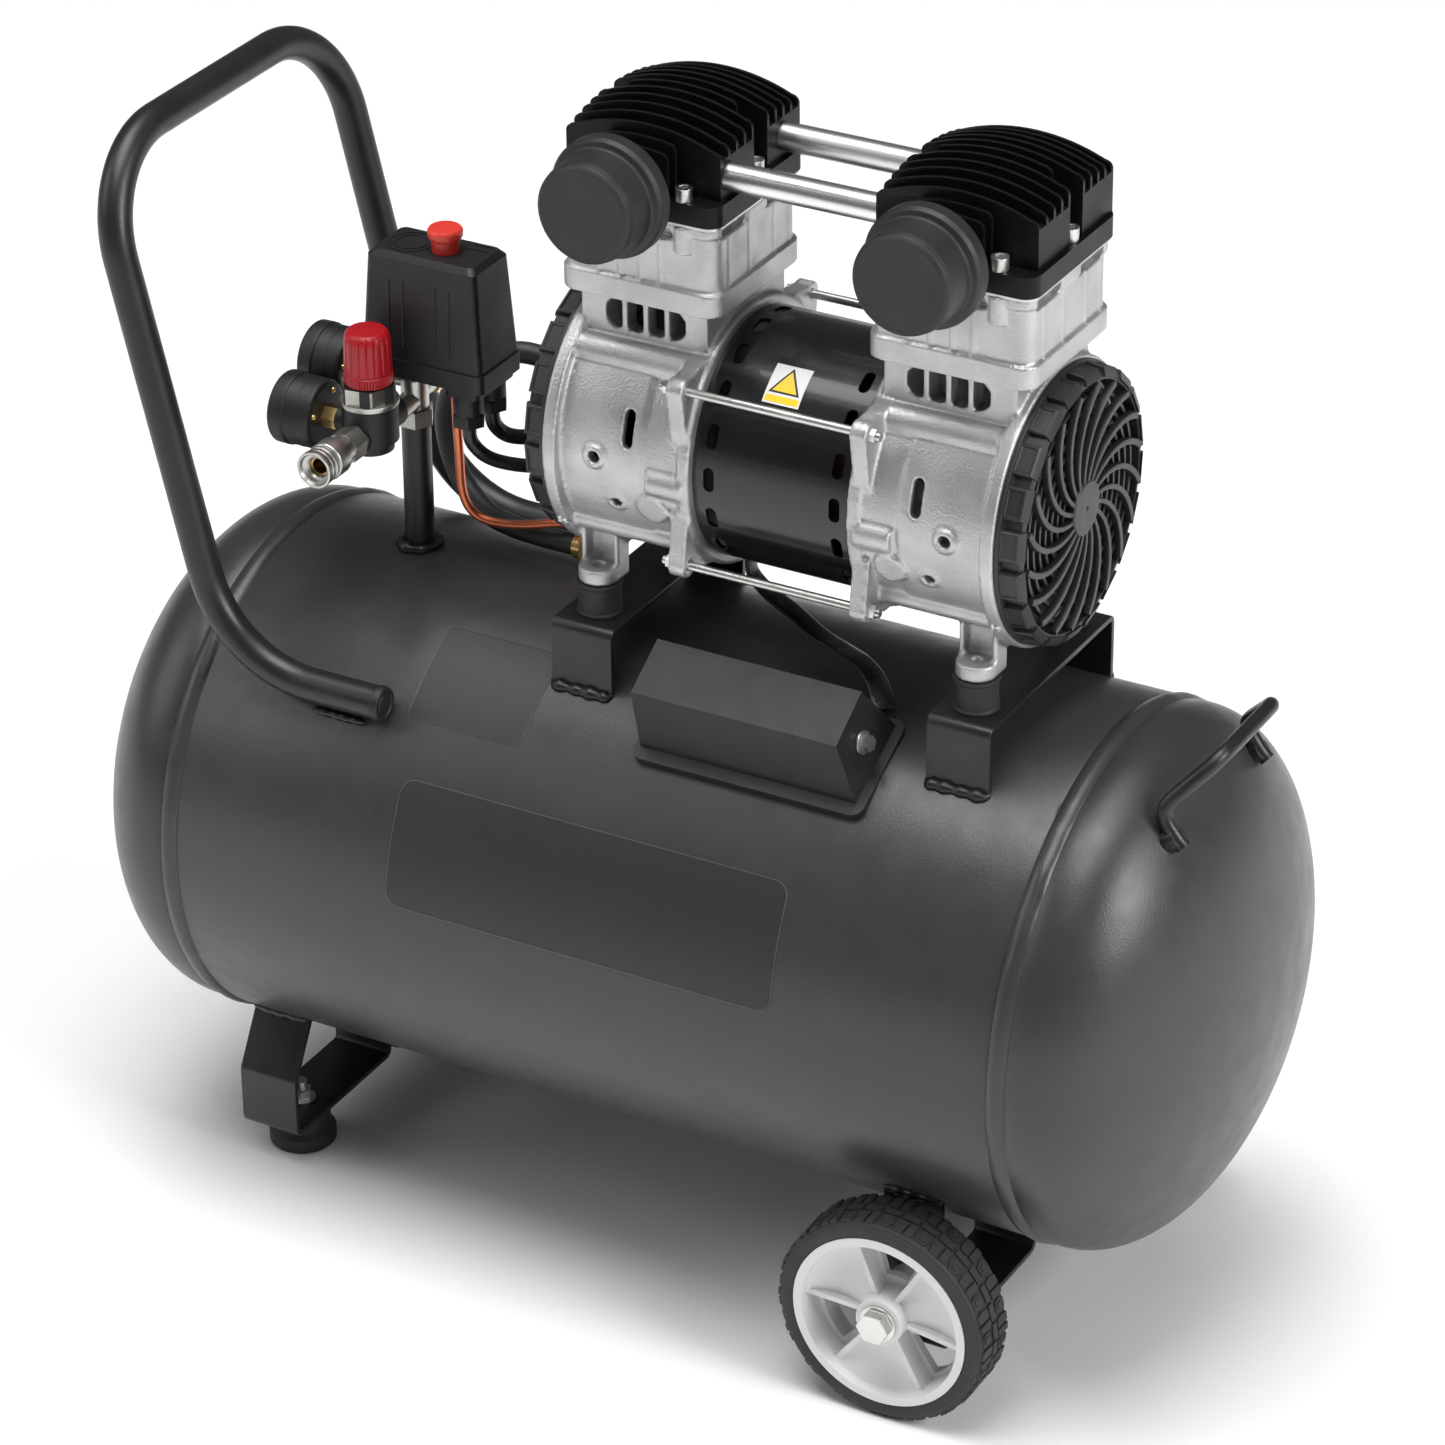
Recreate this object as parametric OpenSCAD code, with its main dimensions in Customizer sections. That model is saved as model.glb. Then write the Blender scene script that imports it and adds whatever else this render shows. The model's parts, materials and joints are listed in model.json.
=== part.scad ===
// Portable air compressor: twin oil-free pump on a horizontal tank.
// +X points to the wheel end, -Y to the side with the air outlet, +Z up.
// The origin is on the floor, under the middle of the tank.

/* [Tank] */
// Outside radius of the tank
tank_r = 155; // [153:0.5:156]
// Height of the tank's axis above the floor
tank_z = 224; // [222:0.5:226]
// Distance from the middle to each weld seam
seam_x = 263; // [258:1:268]
// Wall thickness of the barrel and the heads
tank_wall = 3; // [2:0.5:4]
// Straight collar of a head before its curve starts
head_collar = 12.5; // [10:0.5:15]

/* [Tow handle] */
// Outside radius of the handle tube
tow_r = 9.75; // [9:0.25:10]
// Distance of each leg from the middle plane
tow_y = 117; // [116:0.5:118]
// Height of the crossbar's centre line
tow_top_z = 637; // [600:1:650]
// Lean of the legs away from the pump, in degrees
tow_lean = 13.6; // [12:0.2:15]

/* [Chassis] */
// Outside radius of a tyre
tyre_r = 64; // [62:0.5:65]
// Width of a tyre
tyre_w = 34; // [30:1:34]
// Distance of the axles from the middle
wheel_x = 197; // [190:1:200]
// Width of every bracket strap
strap_w = 38; // [34:1:40]
// Thickness of every bracket strap
strap_t = 3.5; // [3:0.5:4]

/* [Pump] */
// Distance of the pump's middle from the tank's middle
pump_x = 83; // [80:1:86]
// Height of the crankshaft
pump_z = 502; // [500:1:505]
// Half the distance between the two cylinders
cyl_half = 93; // [92:0.5:94]
// Radius of the motor shell
motor_r = 70; // [69:0.5:71]
// Radius of a crankcase drum
drum_r = 74; // [73:0.5:75]
// Throw of the crankshaft, half the piston stroke
crank_throw = 8; // [6:0.5:8]
// Bore radius of a cylinder
bore_r = 32; // [31:0.5:33]
// Crown of a cylinder head above its underside
crown_h = 54.5; // [52:0.5:56]

/* [Controls] */
// Distance of the riser pipe from the middle, on the handle side
riser_x = 184; // [182:0.5:186]
// Radius of the regulator knob
knob_r = 14; // [13:0.5:14.5]
// Bore radius of the quick coupler
coupler_bore_r = 5.3; // [5:0.1:5.5]
// Outside radius of a pressure gauge
gauge_r = 21; // [20:0.5:22]

/* [Hidden] */
$fn = 96;
gap = 0.3;                       // air between pieces that move past each other
head_depth = 77.5;               // rise of the dished head's curve
strap_base_z = 24;               // underside of the chassis straps
wheel_y = 143;                   // middle of a tyre
wheel_z = tyre_r;
foot_x = 236.5;
foot_y = 73;
bracket_y = 76;                  // outer face of a pump bracket's legs
bracket_z = 399.5;               // top face of the pump brackets
mount_y = 54.5;
mount_half = 116;                // rubber mounts, from the pump's middle
foot_pad_z = 419;
shell_half = 48;                 // half the motor shell's length
drum_end = 136;                  // outer end of a crankcase, from the pump's middle
cover_end = 152;                 // outer face of a fan cover
neck_z = 587;
head_z = 640;                    // underside of the cylinder heads
tie_y = 70;
tie_z = 52;                      // tie rods above and below the crankshaft
box_angle = 29.3;                // capacitor box, around the tank from the top
box_x = 83.5;
manifold_z = 456;
switch_z = 494;                  // underside of the pressure switch
reg_y = 42;
reg_x = 187;
knob_z = 498.5;                  // underside of the regulator knob
coupler_z = 469;
outlet_gauge_z = 471;
tank_gauge_z = 483;
check_x = 80;
check_y = 22;

// Rubber hose from the left cylinder head, round behind the riser, to the check valve
HOSE = [[-10, 70, 660], [-11, 82, 656], [-16, 95, 640], [-22, 102, 612], [-32, 106, 572], [-50, 106, 528],
        [-76, 100, 488], [-104, 90, 466], [-132, 80, 470], [-160, 71, 475], [-188, 63, 462], [-200, 57, 433],
        [-188, 48, 404], [-162, 34, 391], [-138, 25, 390], [-118, 22.4, 390], [-105, 22, 390],
        [-93.2, 22, 390]];
// Copper tube from the pressure switch to the check valve
COPPER = [[-160, 5, 494], [-160, 5, 470], [-159, 5, 440], [-158, 5, 418], [-154, 6, 406], [-146, 8, 400],
          [-133, 10, 399], [-119, 13, 400.5], [-106, 16.5, 403], [-95, 20, 404], [-85.2, 21.6, 404]];
// Lead from the front gland to the motor
NEAR_LEAD = [[-141, -12, 470], [-140, -11, 458], [-132, -3, 446], [-116, 14, 438], [-100, 40, 433],
             [-84, 68, 433], [-64, 90, 438], [-36, 100, 446], [0, 100, 454], [36, 95, 460],
             [58, 86, 470], [68, 77, 477], [70, 67.5, 480]];
// Lead from the rear gland to the motor
FAR_LEAD = [[-141, 12, 470], [-140, 14, 458], [-134, 24, 448], [-120, 44, 444], [-104, 66, 446],
            [-84, 90, 450], [-58, 108, 458], [-26, 114, 466], [12, 114, 474], [50, 106, 482],
            [82, 92, 488], [92, 80, 490.6], [93, 70.1, 492]];
// Flat sleeve from the motor to the capacitor box
CAP_LEAD = [[40, -14.6, 431.2], [42, -16, 423], [50, -13, 412], [64, -8, 400], [80, -10, 392], [98, -17, 391],
            [114, -26, 392], [128, -36, 390], [137, -45, 385], [141, -51, 380]];

module mirror_x() { children(); mirror([1, 0, 0]) children(); }
module mirror_y() { children(); mirror([0, 1, 0]) children(); }
module along_x() { rotate([0, 90, 0]) children(); }
module facing_front() { rotate([90, 0, 0]) children(); }
module at_pump() { translate([pump_x, 0, pump_z]) children(); }
module pump_sides() { at_pump() mirror_x() children(); }

module tank_body() {
    translate([0, 0, tank_z]) along_x() cylinder(r = tank_r, h = 2 * seam_x, center = true);
}
module hex(across, h) { cylinder(d = across / cos(30), h = h, $fn = 6); }
module ring(r_out, r_in, h) {
    difference() {
        cylinder(r = r_out, h = h);
        translate([0, 0, -1]) cylinder(r = r_in, h = h + 2);
    }
}
module rounded(w, d, r) {
    square([w - 2 * r, d], center = true);
    square([w, d - 2 * r], center = true);
    for (x = [-1, 1], y = [-1, 1]) translate([x * (w / 2 - r), y * (d / 2 - r)]) circle(r);
}
module slot2d(length, width) {
    square([length - width, width], center = true);
    for (s = [-1, 1]) translate([s * (length - width) / 2, 0]) circle(d = width);
}
// Round bar between two points
module bar(a, b, r) {
    v = b - a;
    translate(a) rotate([0, acos(v[2] / norm(v)), atan2(v[1], v[0])]) cylinder(r = r, h = norm(v));
}

// A tube swept along a route that a spline smooths
function unit(v) = v / norm(v);
function blend4(a, b, c, d, t) =
    0.5 * (2 * b + (c - a) * t + (2 * a - 5 * b + 4 * c - d) * t * t + (3 * b - a - 3 * c + d) * t * t * t);
function smooth(p, k) = concat([for (i = [0:len(p) - 2], j = [0:k - 1])
    blend4(p[max(i - 1, 0)], p[i], p[i + 1], p[min(i + 2, len(p) - 1)], j / k)], [p[len(p) - 1]]);
function heading(p, i) = unit(p[min(i + 1, len(p) - 1)] - p[max(i - 1, 0)]);
function carried(n, t) = unit(n - (n * t) * t);
function frames(p, n, i = 0) = i == len(p) ? [] :
    let (t = heading(p, i), m = carried(n, t)) concat([[p[i], m, cross(t, m)]], frames(p, m, i + 1));
module sweep(route, ru, rv, up = [0, 1, 0], sides = 8, steps = 2) {
    f = frames(smooth(route, steps), up);
    last = len(f) - 1;
    points = [for (q = f, s = [0:sides - 1]) let (a = 360 * s / sides)
        q[0] + ru * cos(a) * q[1] + rv * sin(a) * q[2]];
    walls = [for (i = [0:last - 1], s = [0:sides - 1]) let (n = (s + 1) % sides)
        [(i + 1) * sides + s, (i + 1) * sides + n, i * sides + n, i * sides + s]];
    polyhedron(points, concat([[for (s = [0:sides - 1]) s]], walls,
        [[for (s = [sides - 1:-1:0]) last * sides + s]]));
}

// ---- tank ----
function dome(r, rise) = [for (a = [0:4.5:90]) [r * cos(a), head_collar + rise * sin(a)]];
module tank_shell() {
    color("#3a3a3d") {
        translate([-seam_x, 0, tank_z]) along_x() ring(tank_r, tank_r - tank_wall, 2 * seam_x);
        // threaded bung that holds the drain valve
        difference() {
            translate([0, 0, 61]) cylinder(r = 12, h = 15);
            tank_body();
            translate([0, 0, 60]) cylinder(r = 6.05, h = 9);
        }
    }
}
module head_shell() {
    outer = dome(tank_r, head_depth);
    inner = dome(tank_r - tank_wall, head_depth - tank_wall);
    rotate_extrude() polygon(concat([[tank_r, 0]], outer,
        [for (i = [len(inner) - 1:-1:0]) inner[i]], [[tank_r - tank_wall, 0]]));
}
module weld_bead() {
    bead_w = 10;
    bead_h = 1.8;
    rotate_extrude() polygon([[tank_r - 1, 0], [tank_r - 1, bead_w / 2], [tank_r, bead_w / 2],
        [tank_r + bead_h * 0.7, bead_w / 4], [tank_r + bead_h, 0], [tank_r + bead_h * 0.7, -bead_w / 4],
        [tank_r, -bead_w / 2], [tank_r, 0]]);
}
module tank_heads() {
    color("#3a3a3d") mirror_x() translate([seam_x, 0, tank_z]) along_x() { head_shell(); weld_bead(); }
}

// ---- tow handle ----
rail_z = 343;                                // centre line of the runs welded along the tank
rail_end_x = 141;
crossbar_x = 310;
bend_r = 70;
top_bend_r = 60;
bend_turn = 90 - tow_lean;
// Where the lower bend starts, from where the run would meet the leg's centre line
bend_x = crossbar_x - (tow_top_z - rail_z) * tan(tow_lean) - bend_r * tan(bend_turn / 2);
// A point of the leaning frame, measured from the crossbar's middle
function leaning(y, z) = [z * -sin(tow_lean) - crossbar_x, y, tow_top_z + z * cos(tow_lean)];
function other_side(p) = [for (i = [len(p) - 1:-1:0]) [p[i][0], -p[i][1], p[i][2]]];
lower_bend = [for (i = [0:10]) let (a = bend_turn * i / 10)
    [-bend_x - bend_r * sin(a), tow_y, rail_z + bend_r * (1 - cos(a))]];
top_bend = [for (i = [0:10]) let (a = 9 * i)
    leaning(tow_y - top_bend_r * (1 - cos(a)), top_bend_r * (sin(a) - 1))];
tow_half = concat([[-rail_end_x, tow_y, rail_z]], lower_bend, top_bend);
module tow_path(r) { sweep(concat(tow_half, other_side(tow_half)), r, r, sides = 20, steps = 1); }
module tow_handle() {
    color("#333335") difference() {
        union() {
            tow_path(tow_r);
            for (x = [-150, -176]) mirror_y() translate([x, tow_y, rail_z]) rotate([45, 0, 0])
                translate([0, 0, -17]) cylinder(r = 5, h = 15);
        }
        tow_path(tow_r - 1.5);
        tank_body();
    }
}
module handle_end_caps() {
    color("#222222") mirror_y() translate([-rail_end_x, tow_y, rail_z]) along_x() {
        translate([0, 0, -12]) cylinder(r = tow_r - 1.8, h = 12);
        cylinder(r = tow_r + 0.6, h = 3);
        translate([0, 0, 3]) cylinder(r = tow_r, h = 2);
    }
}

// ---- lift handle on the wheel end ----
LIFT_PATH = [[322, 53.5, 346], [318, 53.5, 350], [311, 53.5, 360], [311, 52, 368], [320, 45, 379],
             [328, 38, 388],
             [332, 31, 393], [333, 20, 394], [333, 0, 394]];
module lift_handle() {
    rod_r = 4.5;
    lug = [313, 53.5, 347];
    color("#333335") {
        half_path = [for (i = [0:len(LIFT_PATH) - 2]) LIFT_PATH[i]];
        sweep(concat(LIFT_PATH, other_side(half_path)), rod_r, rod_r, sides = 12);
        mirror_y() difference() {
            translate(lug) rotate([0, 50, 0]) cylinder(r = 6.5, h = 16, center = true);
            translate([seam_x, 0, tank_z]) along_x() rotate_extrude()
                polygon(concat([[0, 0], [tank_r, 0]], dome(tank_r, head_depth)));
        }
    }
}

// ---- chassis ----
module strap(points) {
    rotate([90, 0, 90]) linear_extrude(strap_w, center = true) polygon(points);
}
// Bottom plate with an upright to the tank near the middle plane
module strap_tail(from_y) {
    strap([[from_y, strap_base_z], [2, strap_base_z], [2, 90], [2 + strap_t, 90],
           [2 + strap_t, strap_base_z + strap_t], [from_y, strap_base_z + strap_t]]);
}
module foot_brackets() {
    t = strap_t;
    color("#2f2f31") translate([-foot_x, 0, 0]) mirror_y() difference() {
        union() {
            strap_tail(107 - t / 2);
            strap([[107, strap_base_z], [107, 62], [82, 104], [82 - t * 1.2, 102],
                   [107 - t, 61], [107 - t, strap_base_z]]);
        }
        translate([foot_x, 0, 0]) tank_body();
        translate([0, foot_y, 0]) cylinder(d = 8.4, h = 40);
    }
}
module wheel_brackets() {
    t = strap_t;
    color("#2f2f31") translate([wheel_x, 0, 0]) mirror_y() difference() {
        union() {
            strap_tail(118 - t / 2);
            strap([[118, strap_base_z], [118, 130], [118 - t, 130], [118 - t, strap_base_z]]);
        }
        translate([-wheel_x, 0, 0]) tank_body();
        translate([0, 0, wheel_z]) facing_front() cylinder(r = 5.2, h = 300, center = true);
    }
}
module rubber_feet() {
    color("#1c1c1c") mirror_y() translate([-foot_x, foot_y, 0]) rotate_extrude()
        polygon([[0, 0], [18, 0], [20, 2], [20, 9], [17, 12], [17, strap_base_z], [4, strap_base_z],
                 [4, 14], [7.5, 14], [7.5, 6], [0, 6]]);
}
module foot_bolts() {
    top = strap_base_z + strap_t;
    color("#c8c8c6") mirror_y() translate([-foot_x, foot_y, 0]) {
        translate([0, 0, 7]) hex(13, 6);
        translate([0, 0, 7]) cylinder(r = 4, h = top + 6);
        translate([0, 0, top]) cylinder(r = 8.5, h = 1.5);
        translate([0, 0, top + 1.5]) hex(11, 6);
    }
}

rim_r = 53;
hub_y = 118 + gap + 0.1;                      // inner end of the hub, just off the bracket
hub_len = 159.7 - hub_y;
windows = [35, 155, 275];                     // directions of the wheel's three windows
module sector(half_angle, r) {
    polygon([[0, 0], [r * cos(half_angle), -r * sin(half_angle)], [1.3 * r, 0],
             [r * cos(half_angle), r * sin(half_angle)]]);
}
module wheel_rim() {
    web_out = -2;                // outer face of the web, from the middle of the tyre
    color("#e9e9e6") translate([wheel_x, 0, wheel_z]) difference() {
        union() {
            translate([0, wheel_y, 0]) rotate([-90, 0, 0]) {
                translate([0, 0, -tyre_w / 2]) ring(rim_r, rim_r - 5, tyre_w);
                translate([0, 0, web_out - 5]) cylinder(r = rim_r - 1, h = 5);
                // dished pads between the windows
                for (a = windows) rotate([0, 0, a + 60]) intersection() {
                    rotate_extrude() polygon([[12, -4], [12, 9], [16, 7.2], [24, 5.4], [32, 5], [40, 6.4],
                                              [46, 9], [rim_r - 4, 12], [rim_r - 4, -4]]);
                    translate([0, 0, -5]) linear_extrude(20) sector(33, 60);
                }
                // raised sides of the windows
                for (a = windows, s = [-27, 27]) rotate([0, 0, a + s])
                    translate([11, -1.5, web_out - 2]) cube([rim_r - 14, 3, 14]);
            }
            translate([0, hub_y, 0]) rotate([-90, 0, 0]) cylinder(r = 14, h = hub_len);
        }
        translate([0, hub_y - 1, 0]) rotate([-90, 0, 0]) cylinder(r = 5.06, h = hub_len + 2);
        translate([0, wheel_y, 0]) rotate([-90, 0, 0]) for (a = windows) rotate([0, 0, a])
            linear_extrude(40, center = true) intersection() {
                difference() { circle(rim_r - 8); circle(20); }
                sector(20, 60);
            }
    }
}
module wheel_tyre() {
    half = tyre_w / 2;
    grooves = 30;
    color("#1f1f20") translate([wheel_x, wheel_y, wheel_z]) rotate([-90, 0, 0]) difference() {
        rotate_extrude() polygon([[rim_r, -half], [tyre_r - 5, -half], [tyre_r - 1.5, -half + 2],
            [tyre_r, -half + 5], [tyre_r, half - 5], [tyre_r - 1.5, half - 2],
            [tyre_r - 5, half], [rim_r, half]]);
        for (i = [0:grooves - 1]) rotate([0, 0, i * 360 / grooves]) for (s = [0, 1])
            translate([tyre_r - 2, -1.2, s * 8 + 2 - half / 2]) rotate([0, 0, s * 180 / grooves])
                cube([6, 2.4, 7]);
    }
}
module axle_bolts() {
    color("#c8c8c6") translate([wheel_x, 0, wheel_z]) mirror_y() rotate([-90, 0, 0]) {
        translate([0, 0, 98]) cylinder(r = 5, h = 65);
        translate([0, 0, 118 - strap_t - 8]) hex(17, 8);
        translate([0, 0, 160]) cylinder(r = 11, h = 1.6);
        translate([0, 0, 161.6]) hex(17, 6.6);
    }
}

// ---- pump supports ----
module pump_brackets() {
    t = strap_t;
    for (s = [-1, 1]) color("#2f2f31") translate([pump_x + s * mount_half, 0, 0]) difference() {
        rotate([90, 0, 90]) linear_extrude(strap_w, center = true) difference() {
            translate([-bracket_y, tank_z + 100]) square([2 * bracket_y, bracket_z - tank_z - 100]);
            translate([-bracket_y + t, tank_z]) square([2 * (bracket_y - t), bracket_z - tank_z - t]);
            translate([0, tank_z]) circle(tank_r);
        }
        mirror_y() translate([0, mount_y, bracket_z - 10]) cylinder(r = 3.2, h = 20);
    }
}
module at_mounts() {
    for (s = [-1, 1]) translate([pump_x + s * mount_half, 0, 0])
        mirror_y() translate([0, mount_y, 0]) children();
}
module rubber_mounts() {
    color("#1f1f1f") at_mounts() translate([0, 0, bracket_z]) ring(12.75, 3.2, foot_pad_z - bracket_z);
}
module mount_studs() {
    color("#c8c8c6") at_mounts() {
        translate([0, 0, bracket_z - strap_t - 5]) hex(10, 5);
        translate([0, 0, bracket_z - strap_t]) cylinder(r = 3, h = foot_pad_z - bracket_z + strap_t + 7);
    }
}

// ---- motor ----
module motor_shell() {
    slots = 18;
    color("#111112") at_pump() difference() {
        along_x() translate([0, 0, -shell_half]) ring(motor_r, motor_r - 2, 2 * shell_half);
        for (i = [0:slots - 1], s = [-1, 1]) rotate([i * 360 / slots + 8, 0, 0])
            translate([s * (shell_half - 10), 0, motor_r - 5]) linear_extrude(10)
                rotate([0, 0, 90]) slot2d(14, 6.5);
    }
}
module stator_core() {
    color("#8d8f92") at_pump() along_x() difference() {
        translate([0, 0, -27]) cylinder(r = motor_r - 2, h = 54);
        translate([0, 0, -28]) cylinder(r = 42, h = 56);
    }
}
module stator_windings() {
    color("#b5562b") pump_sides() translate([27, 0, 0]) along_x() ring(60, 45, 13);
}
module rotor_core() { color("#9a9b9e") at_pump() along_x() translate([0, 0, -27]) ring(41.6, 7.5, 54); }
module crankshaft() {
    shaft_r = 7.5;
    web_in = 80;
    web_out = 101;
    color("#b9bbbe") at_pump() {
        along_x() cylinder(r = shaft_r, h = 2 * web_in + 2, center = true);
        for (s = [0, 180]) rotate([0, 0, s]) {
            translate([web_in, 0, 0]) along_x() cylinder(r = 20, h = 5);
            translate([web_out, 0, 0]) along_x() cylinder(r = 20, h = 5);
            translate([web_in + 1, crank_throw, 0]) along_x() cylinder(r = 5, h = web_out - web_in + 2);
            translate([web_out + 4, 0, 0]) along_x() cylinder(r = shaft_r, h = 38);
        }
    }
}
module shaft_bearings() {
    color("#d0d2d4") pump_sides() translate([shell_half + 1, 0, 0]) along_x() ring(17.5, 7.55, 11);
}

// Ear that holds a tie rod, standing off the drum
module tie_ear() {
    translate([shell_half + 2, 0, 0]) rotate([90, 0, 90]) linear_extrude(10) difference() {
        union() {
            translate([tie_y, tie_z]) circle(7);
            polygon([[40, 62], [tie_y - 3, tie_z + 6.3], [tie_y + 6.5, tie_z - 2.5], [72, 20], [60, 30]]);
        }
        translate([tie_y, tie_z]) circle(2.6);
    }
}
module crankcase_foot() {
    pad_r = 11.5;
    translate([mount_half, mount_y, foot_pad_z - pump_z]) {
        cylinder(r = pad_r, h = 9);
        for (x = [-pad_r, pad_r - 3]) translate([x, -pad_r, 0]) cube([3, pad_r, 40]);
        translate([-pad_r, -pad_r - 2, 0]) cube([2 * pad_r, 5, 40]);
        translate([-pad_r, -pad_r, 0]) cube([2 * pad_r, pad_r, 9]);
    }
}
// Rounded rib along the drum, at an angle from the top
module drum_rib(angle, r, reach, from_s, to_s) {
    rotate([-angle, 0, 0]) translate([from_s, 0, reach]) along_x() cylinder(r = r, h = to_s - from_s);
}
module crankcase() {
    neck_from = 53;
    neck_w = 78;
    neck_y = 43;
    step_s = 78;
    window_z = 74;
    slot_s = 87;
    boss_s = 106;
    hole_s = 95;
    difference() {
        union() {
            translate([shell_half, 0, 0]) along_x() cylinder(r = drum_r - 1.2, h = drum_end - shell_half);
            translate([step_s, 0, 0]) along_x() cylinder(r = drum_r, h = drum_end - step_s);
            translate([drum_end - 8, 0, 0]) along_x() cylinder(r = 80, h = 8);
            translate([shell_half, 0, 0]) along_x() cylinder(r = 75.5, h = 7);
            translate([neck_from, -neck_y, 0]) cube([neck_w, 2 * neck_y, neck_z - pump_z]);
            mirror_y() {
                tie_ear();
                mirror([0, 0, 1]) tie_ear();
                crankcase_foot();
                drum_rib(42, 9, 70, shell_half + 4, drum_end - 9);
                drum_rib(95, 9, 69, shell_half + 4, 74);
                drum_rib(130, 7, 71, shell_half + 8, drum_end - 9);
                translate([boss_s, 0, 0]) rotate([-88, 0, 0]) cylinder(r = 6.5, h = drum_r + 2.5);
                translate([hole_s, 0, 0]) rotate([-109, 0, 0]) cylinder(r = 5, h = drum_r + 1);
                translate([72, 0, 0]) rotate([-108, 0, 0]) cylinder(r = 9.5, h = drum_r + 1.5);
            }
        }
        // crank chamber, open to the fan
        translate([shell_half + 12, 0, 0]) along_x() cylinder(r = drum_r - 6.2, h = 100);
        translate([shell_half - 1, 0, 0]) along_x() cylinder(r = 17.5, h = 14);
        translate([shell_half - 1, 0, 0]) along_x() cylinder(r = 60, h = 5);
        translate([cyl_half, 0, 0]) cylinder(r = bore_r + 1, h = 200);
        mirror_y() {
            // cooling window in the neck, with three bars across it
            translate([cyl_half - 2, 20, window_z]) rotate([-90, 0, 0]) linear_extrude(60) intersection() {
                slot2d(50, 18);
                for (i = [-1.5:1:1.5]) translate([i * 13, 0]) square([9.5, 30], center = true);
            }
            // upright slot, drilled bosses and mount hole
            translate([slot_s, 0, 0]) rotate([-73, 0, 0]) linear_extrude(120)
                rotate([0, 0, 90]) slot2d(22, 6);
            translate([boss_s, 0, 0]) rotate([-88, 0, 0]) cylinder(r = 3.6, h = 120);
            translate([hole_s, 0, 0]) rotate([-109, 0, 0]) cylinder(r = 3, h = 120);
            translate([mount_half, mount_y, foot_pad_z - pump_z - 5]) cylinder(r = 3.2, h = 40);
        }
    }
}
module left_crankcase() { color("#c9cbcd") at_pump() mirror([1, 0, 0]) crankcase(); }
module right_crankcase() { color("#c9cbcd") at_pump() crankcase(); }
module at_cylinders() { for (s = [-1, 1]) translate([pump_x + s * cyl_half, 0, 0]) children(); }
// Places of a head's bolts: two on the front ledge, one in the notch of each side
module at_front_bolts() { for (x = [-28, 28]) translate([x, -45, 0]) children(); }
module at_side_bolts() { for (x = [-43.5, 43.5]) translate([x, 4.8, 0]) children(); }
module cylinder_blocks() {
    low = 13;
    high = head_z - 2 - neck_z;
    color("#cfd1d3") at_cylinders() translate([0, 0, neck_z]) difference() {
        union() {
            linear_extrude(low) rounded(98, 97, 10);
            linear_extrude(high) rounded(94, 92, 9);
            translate([0, 0, high - 6]) linear_extrude(6) rounded(97, 95, 9);
            for (x = [-47.5, 46], y = [-32, -10, 17, 34]) translate([x, y, 0]) cube([1.5, 2.4, high]);
            for (y = [-47, 45.5], x = [-25, -12, 1, 13]) translate([x, y, 0]) cube([2.4, 1.5, high]);
            at_front_bolts() translate([0, 0, high - 16]) cylinder(r = 5.5, h = 16);
        }
        translate([0, 0, -1]) cylinder(r = bore_r, h = high + 2);
        at_front_bolts() translate([0, 0, high - 12]) cylinder(r = 2.5, h = 40);
        at_side_bolts() translate([0, 0, high - 12]) cylinder(r = 2.5, h = 40);
        // cooling pockets under the valve plate
        for (x = [-58, 41], y = [-40, 9]) translate([x, y, high - 7.5]) cube([17, 27, 9]);
        translate([-21, -58, high - 10]) cube([42, 17, 7]);
    }
}
module piston() {
    crown_z = head_z - 3 - crank_throw;
    ring_z = pump_z;
    translate([0, 0, crown_z - 12]) cylinder(r = bore_r - gap, h = 12);
    translate([-5, -6, ring_z + 24]) cube([10, 12, crown_z - 10 - ring_z - 24]);
    translate([-5, 0, ring_z]) along_x() ring(28, 22.2, 10);
}
module left_piston() { color("#d5d6d8") translate([pump_x - cyl_half, 0, 0]) piston(); }
module right_piston() { color("#d5d6d8") translate([pump_x + cyl_half, 0, 0]) piston(); }
module valve_plates() {
    color("#b0b2b5") at_cylinders() translate([0, 0, head_z - 2]) difference() {
        linear_extrude(2) rounded(98, 98, 8);
        for (a = [0:60:300]) rotate([0, 0, a]) translate([18, 0, -1]) cylinder(r = 3, h = 4);
        at_front_bolts() translate([0, 0, -1]) cylinder(r = 2.5, h = 4);
        at_side_bolts() translate([0, 0, -1]) cylinder(r = 2.5, h = 4);
    }
}
plate_h = 12;                    // flange of a cylinder head
fin_w = 2.2;
fin_half = 47;
fins_front = -39;
fin_pitch = 8.48;
// A fin in front view: arched top, rounded upper corners
module fin_shape(half, top) {
    crown_r = 110;
    corner = 4.5;
    shoulder = top - crown_r + sqrt(pow(crown_r, 2) - pow(half - corner, 2)) - corner;
    intersection() {
        translate([corner - half, plate_h - 1]) square([2 * (half - corner), 60]);
        translate([0, top - crown_r]) circle(crown_r, $fn = 200);
    }
    translate([-half, plate_h - 1]) square([2 * half, shoulder - plate_h + 1]);
    for (s = [-1, 1]) translate([s * (half - corner), shoulder]) circle(corner);
}
module fin(y, half, top) {
    translate([0, y + fin_w, 0]) facing_front() linear_extrude(fin_w) fin_shape(half, top);
}
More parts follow.
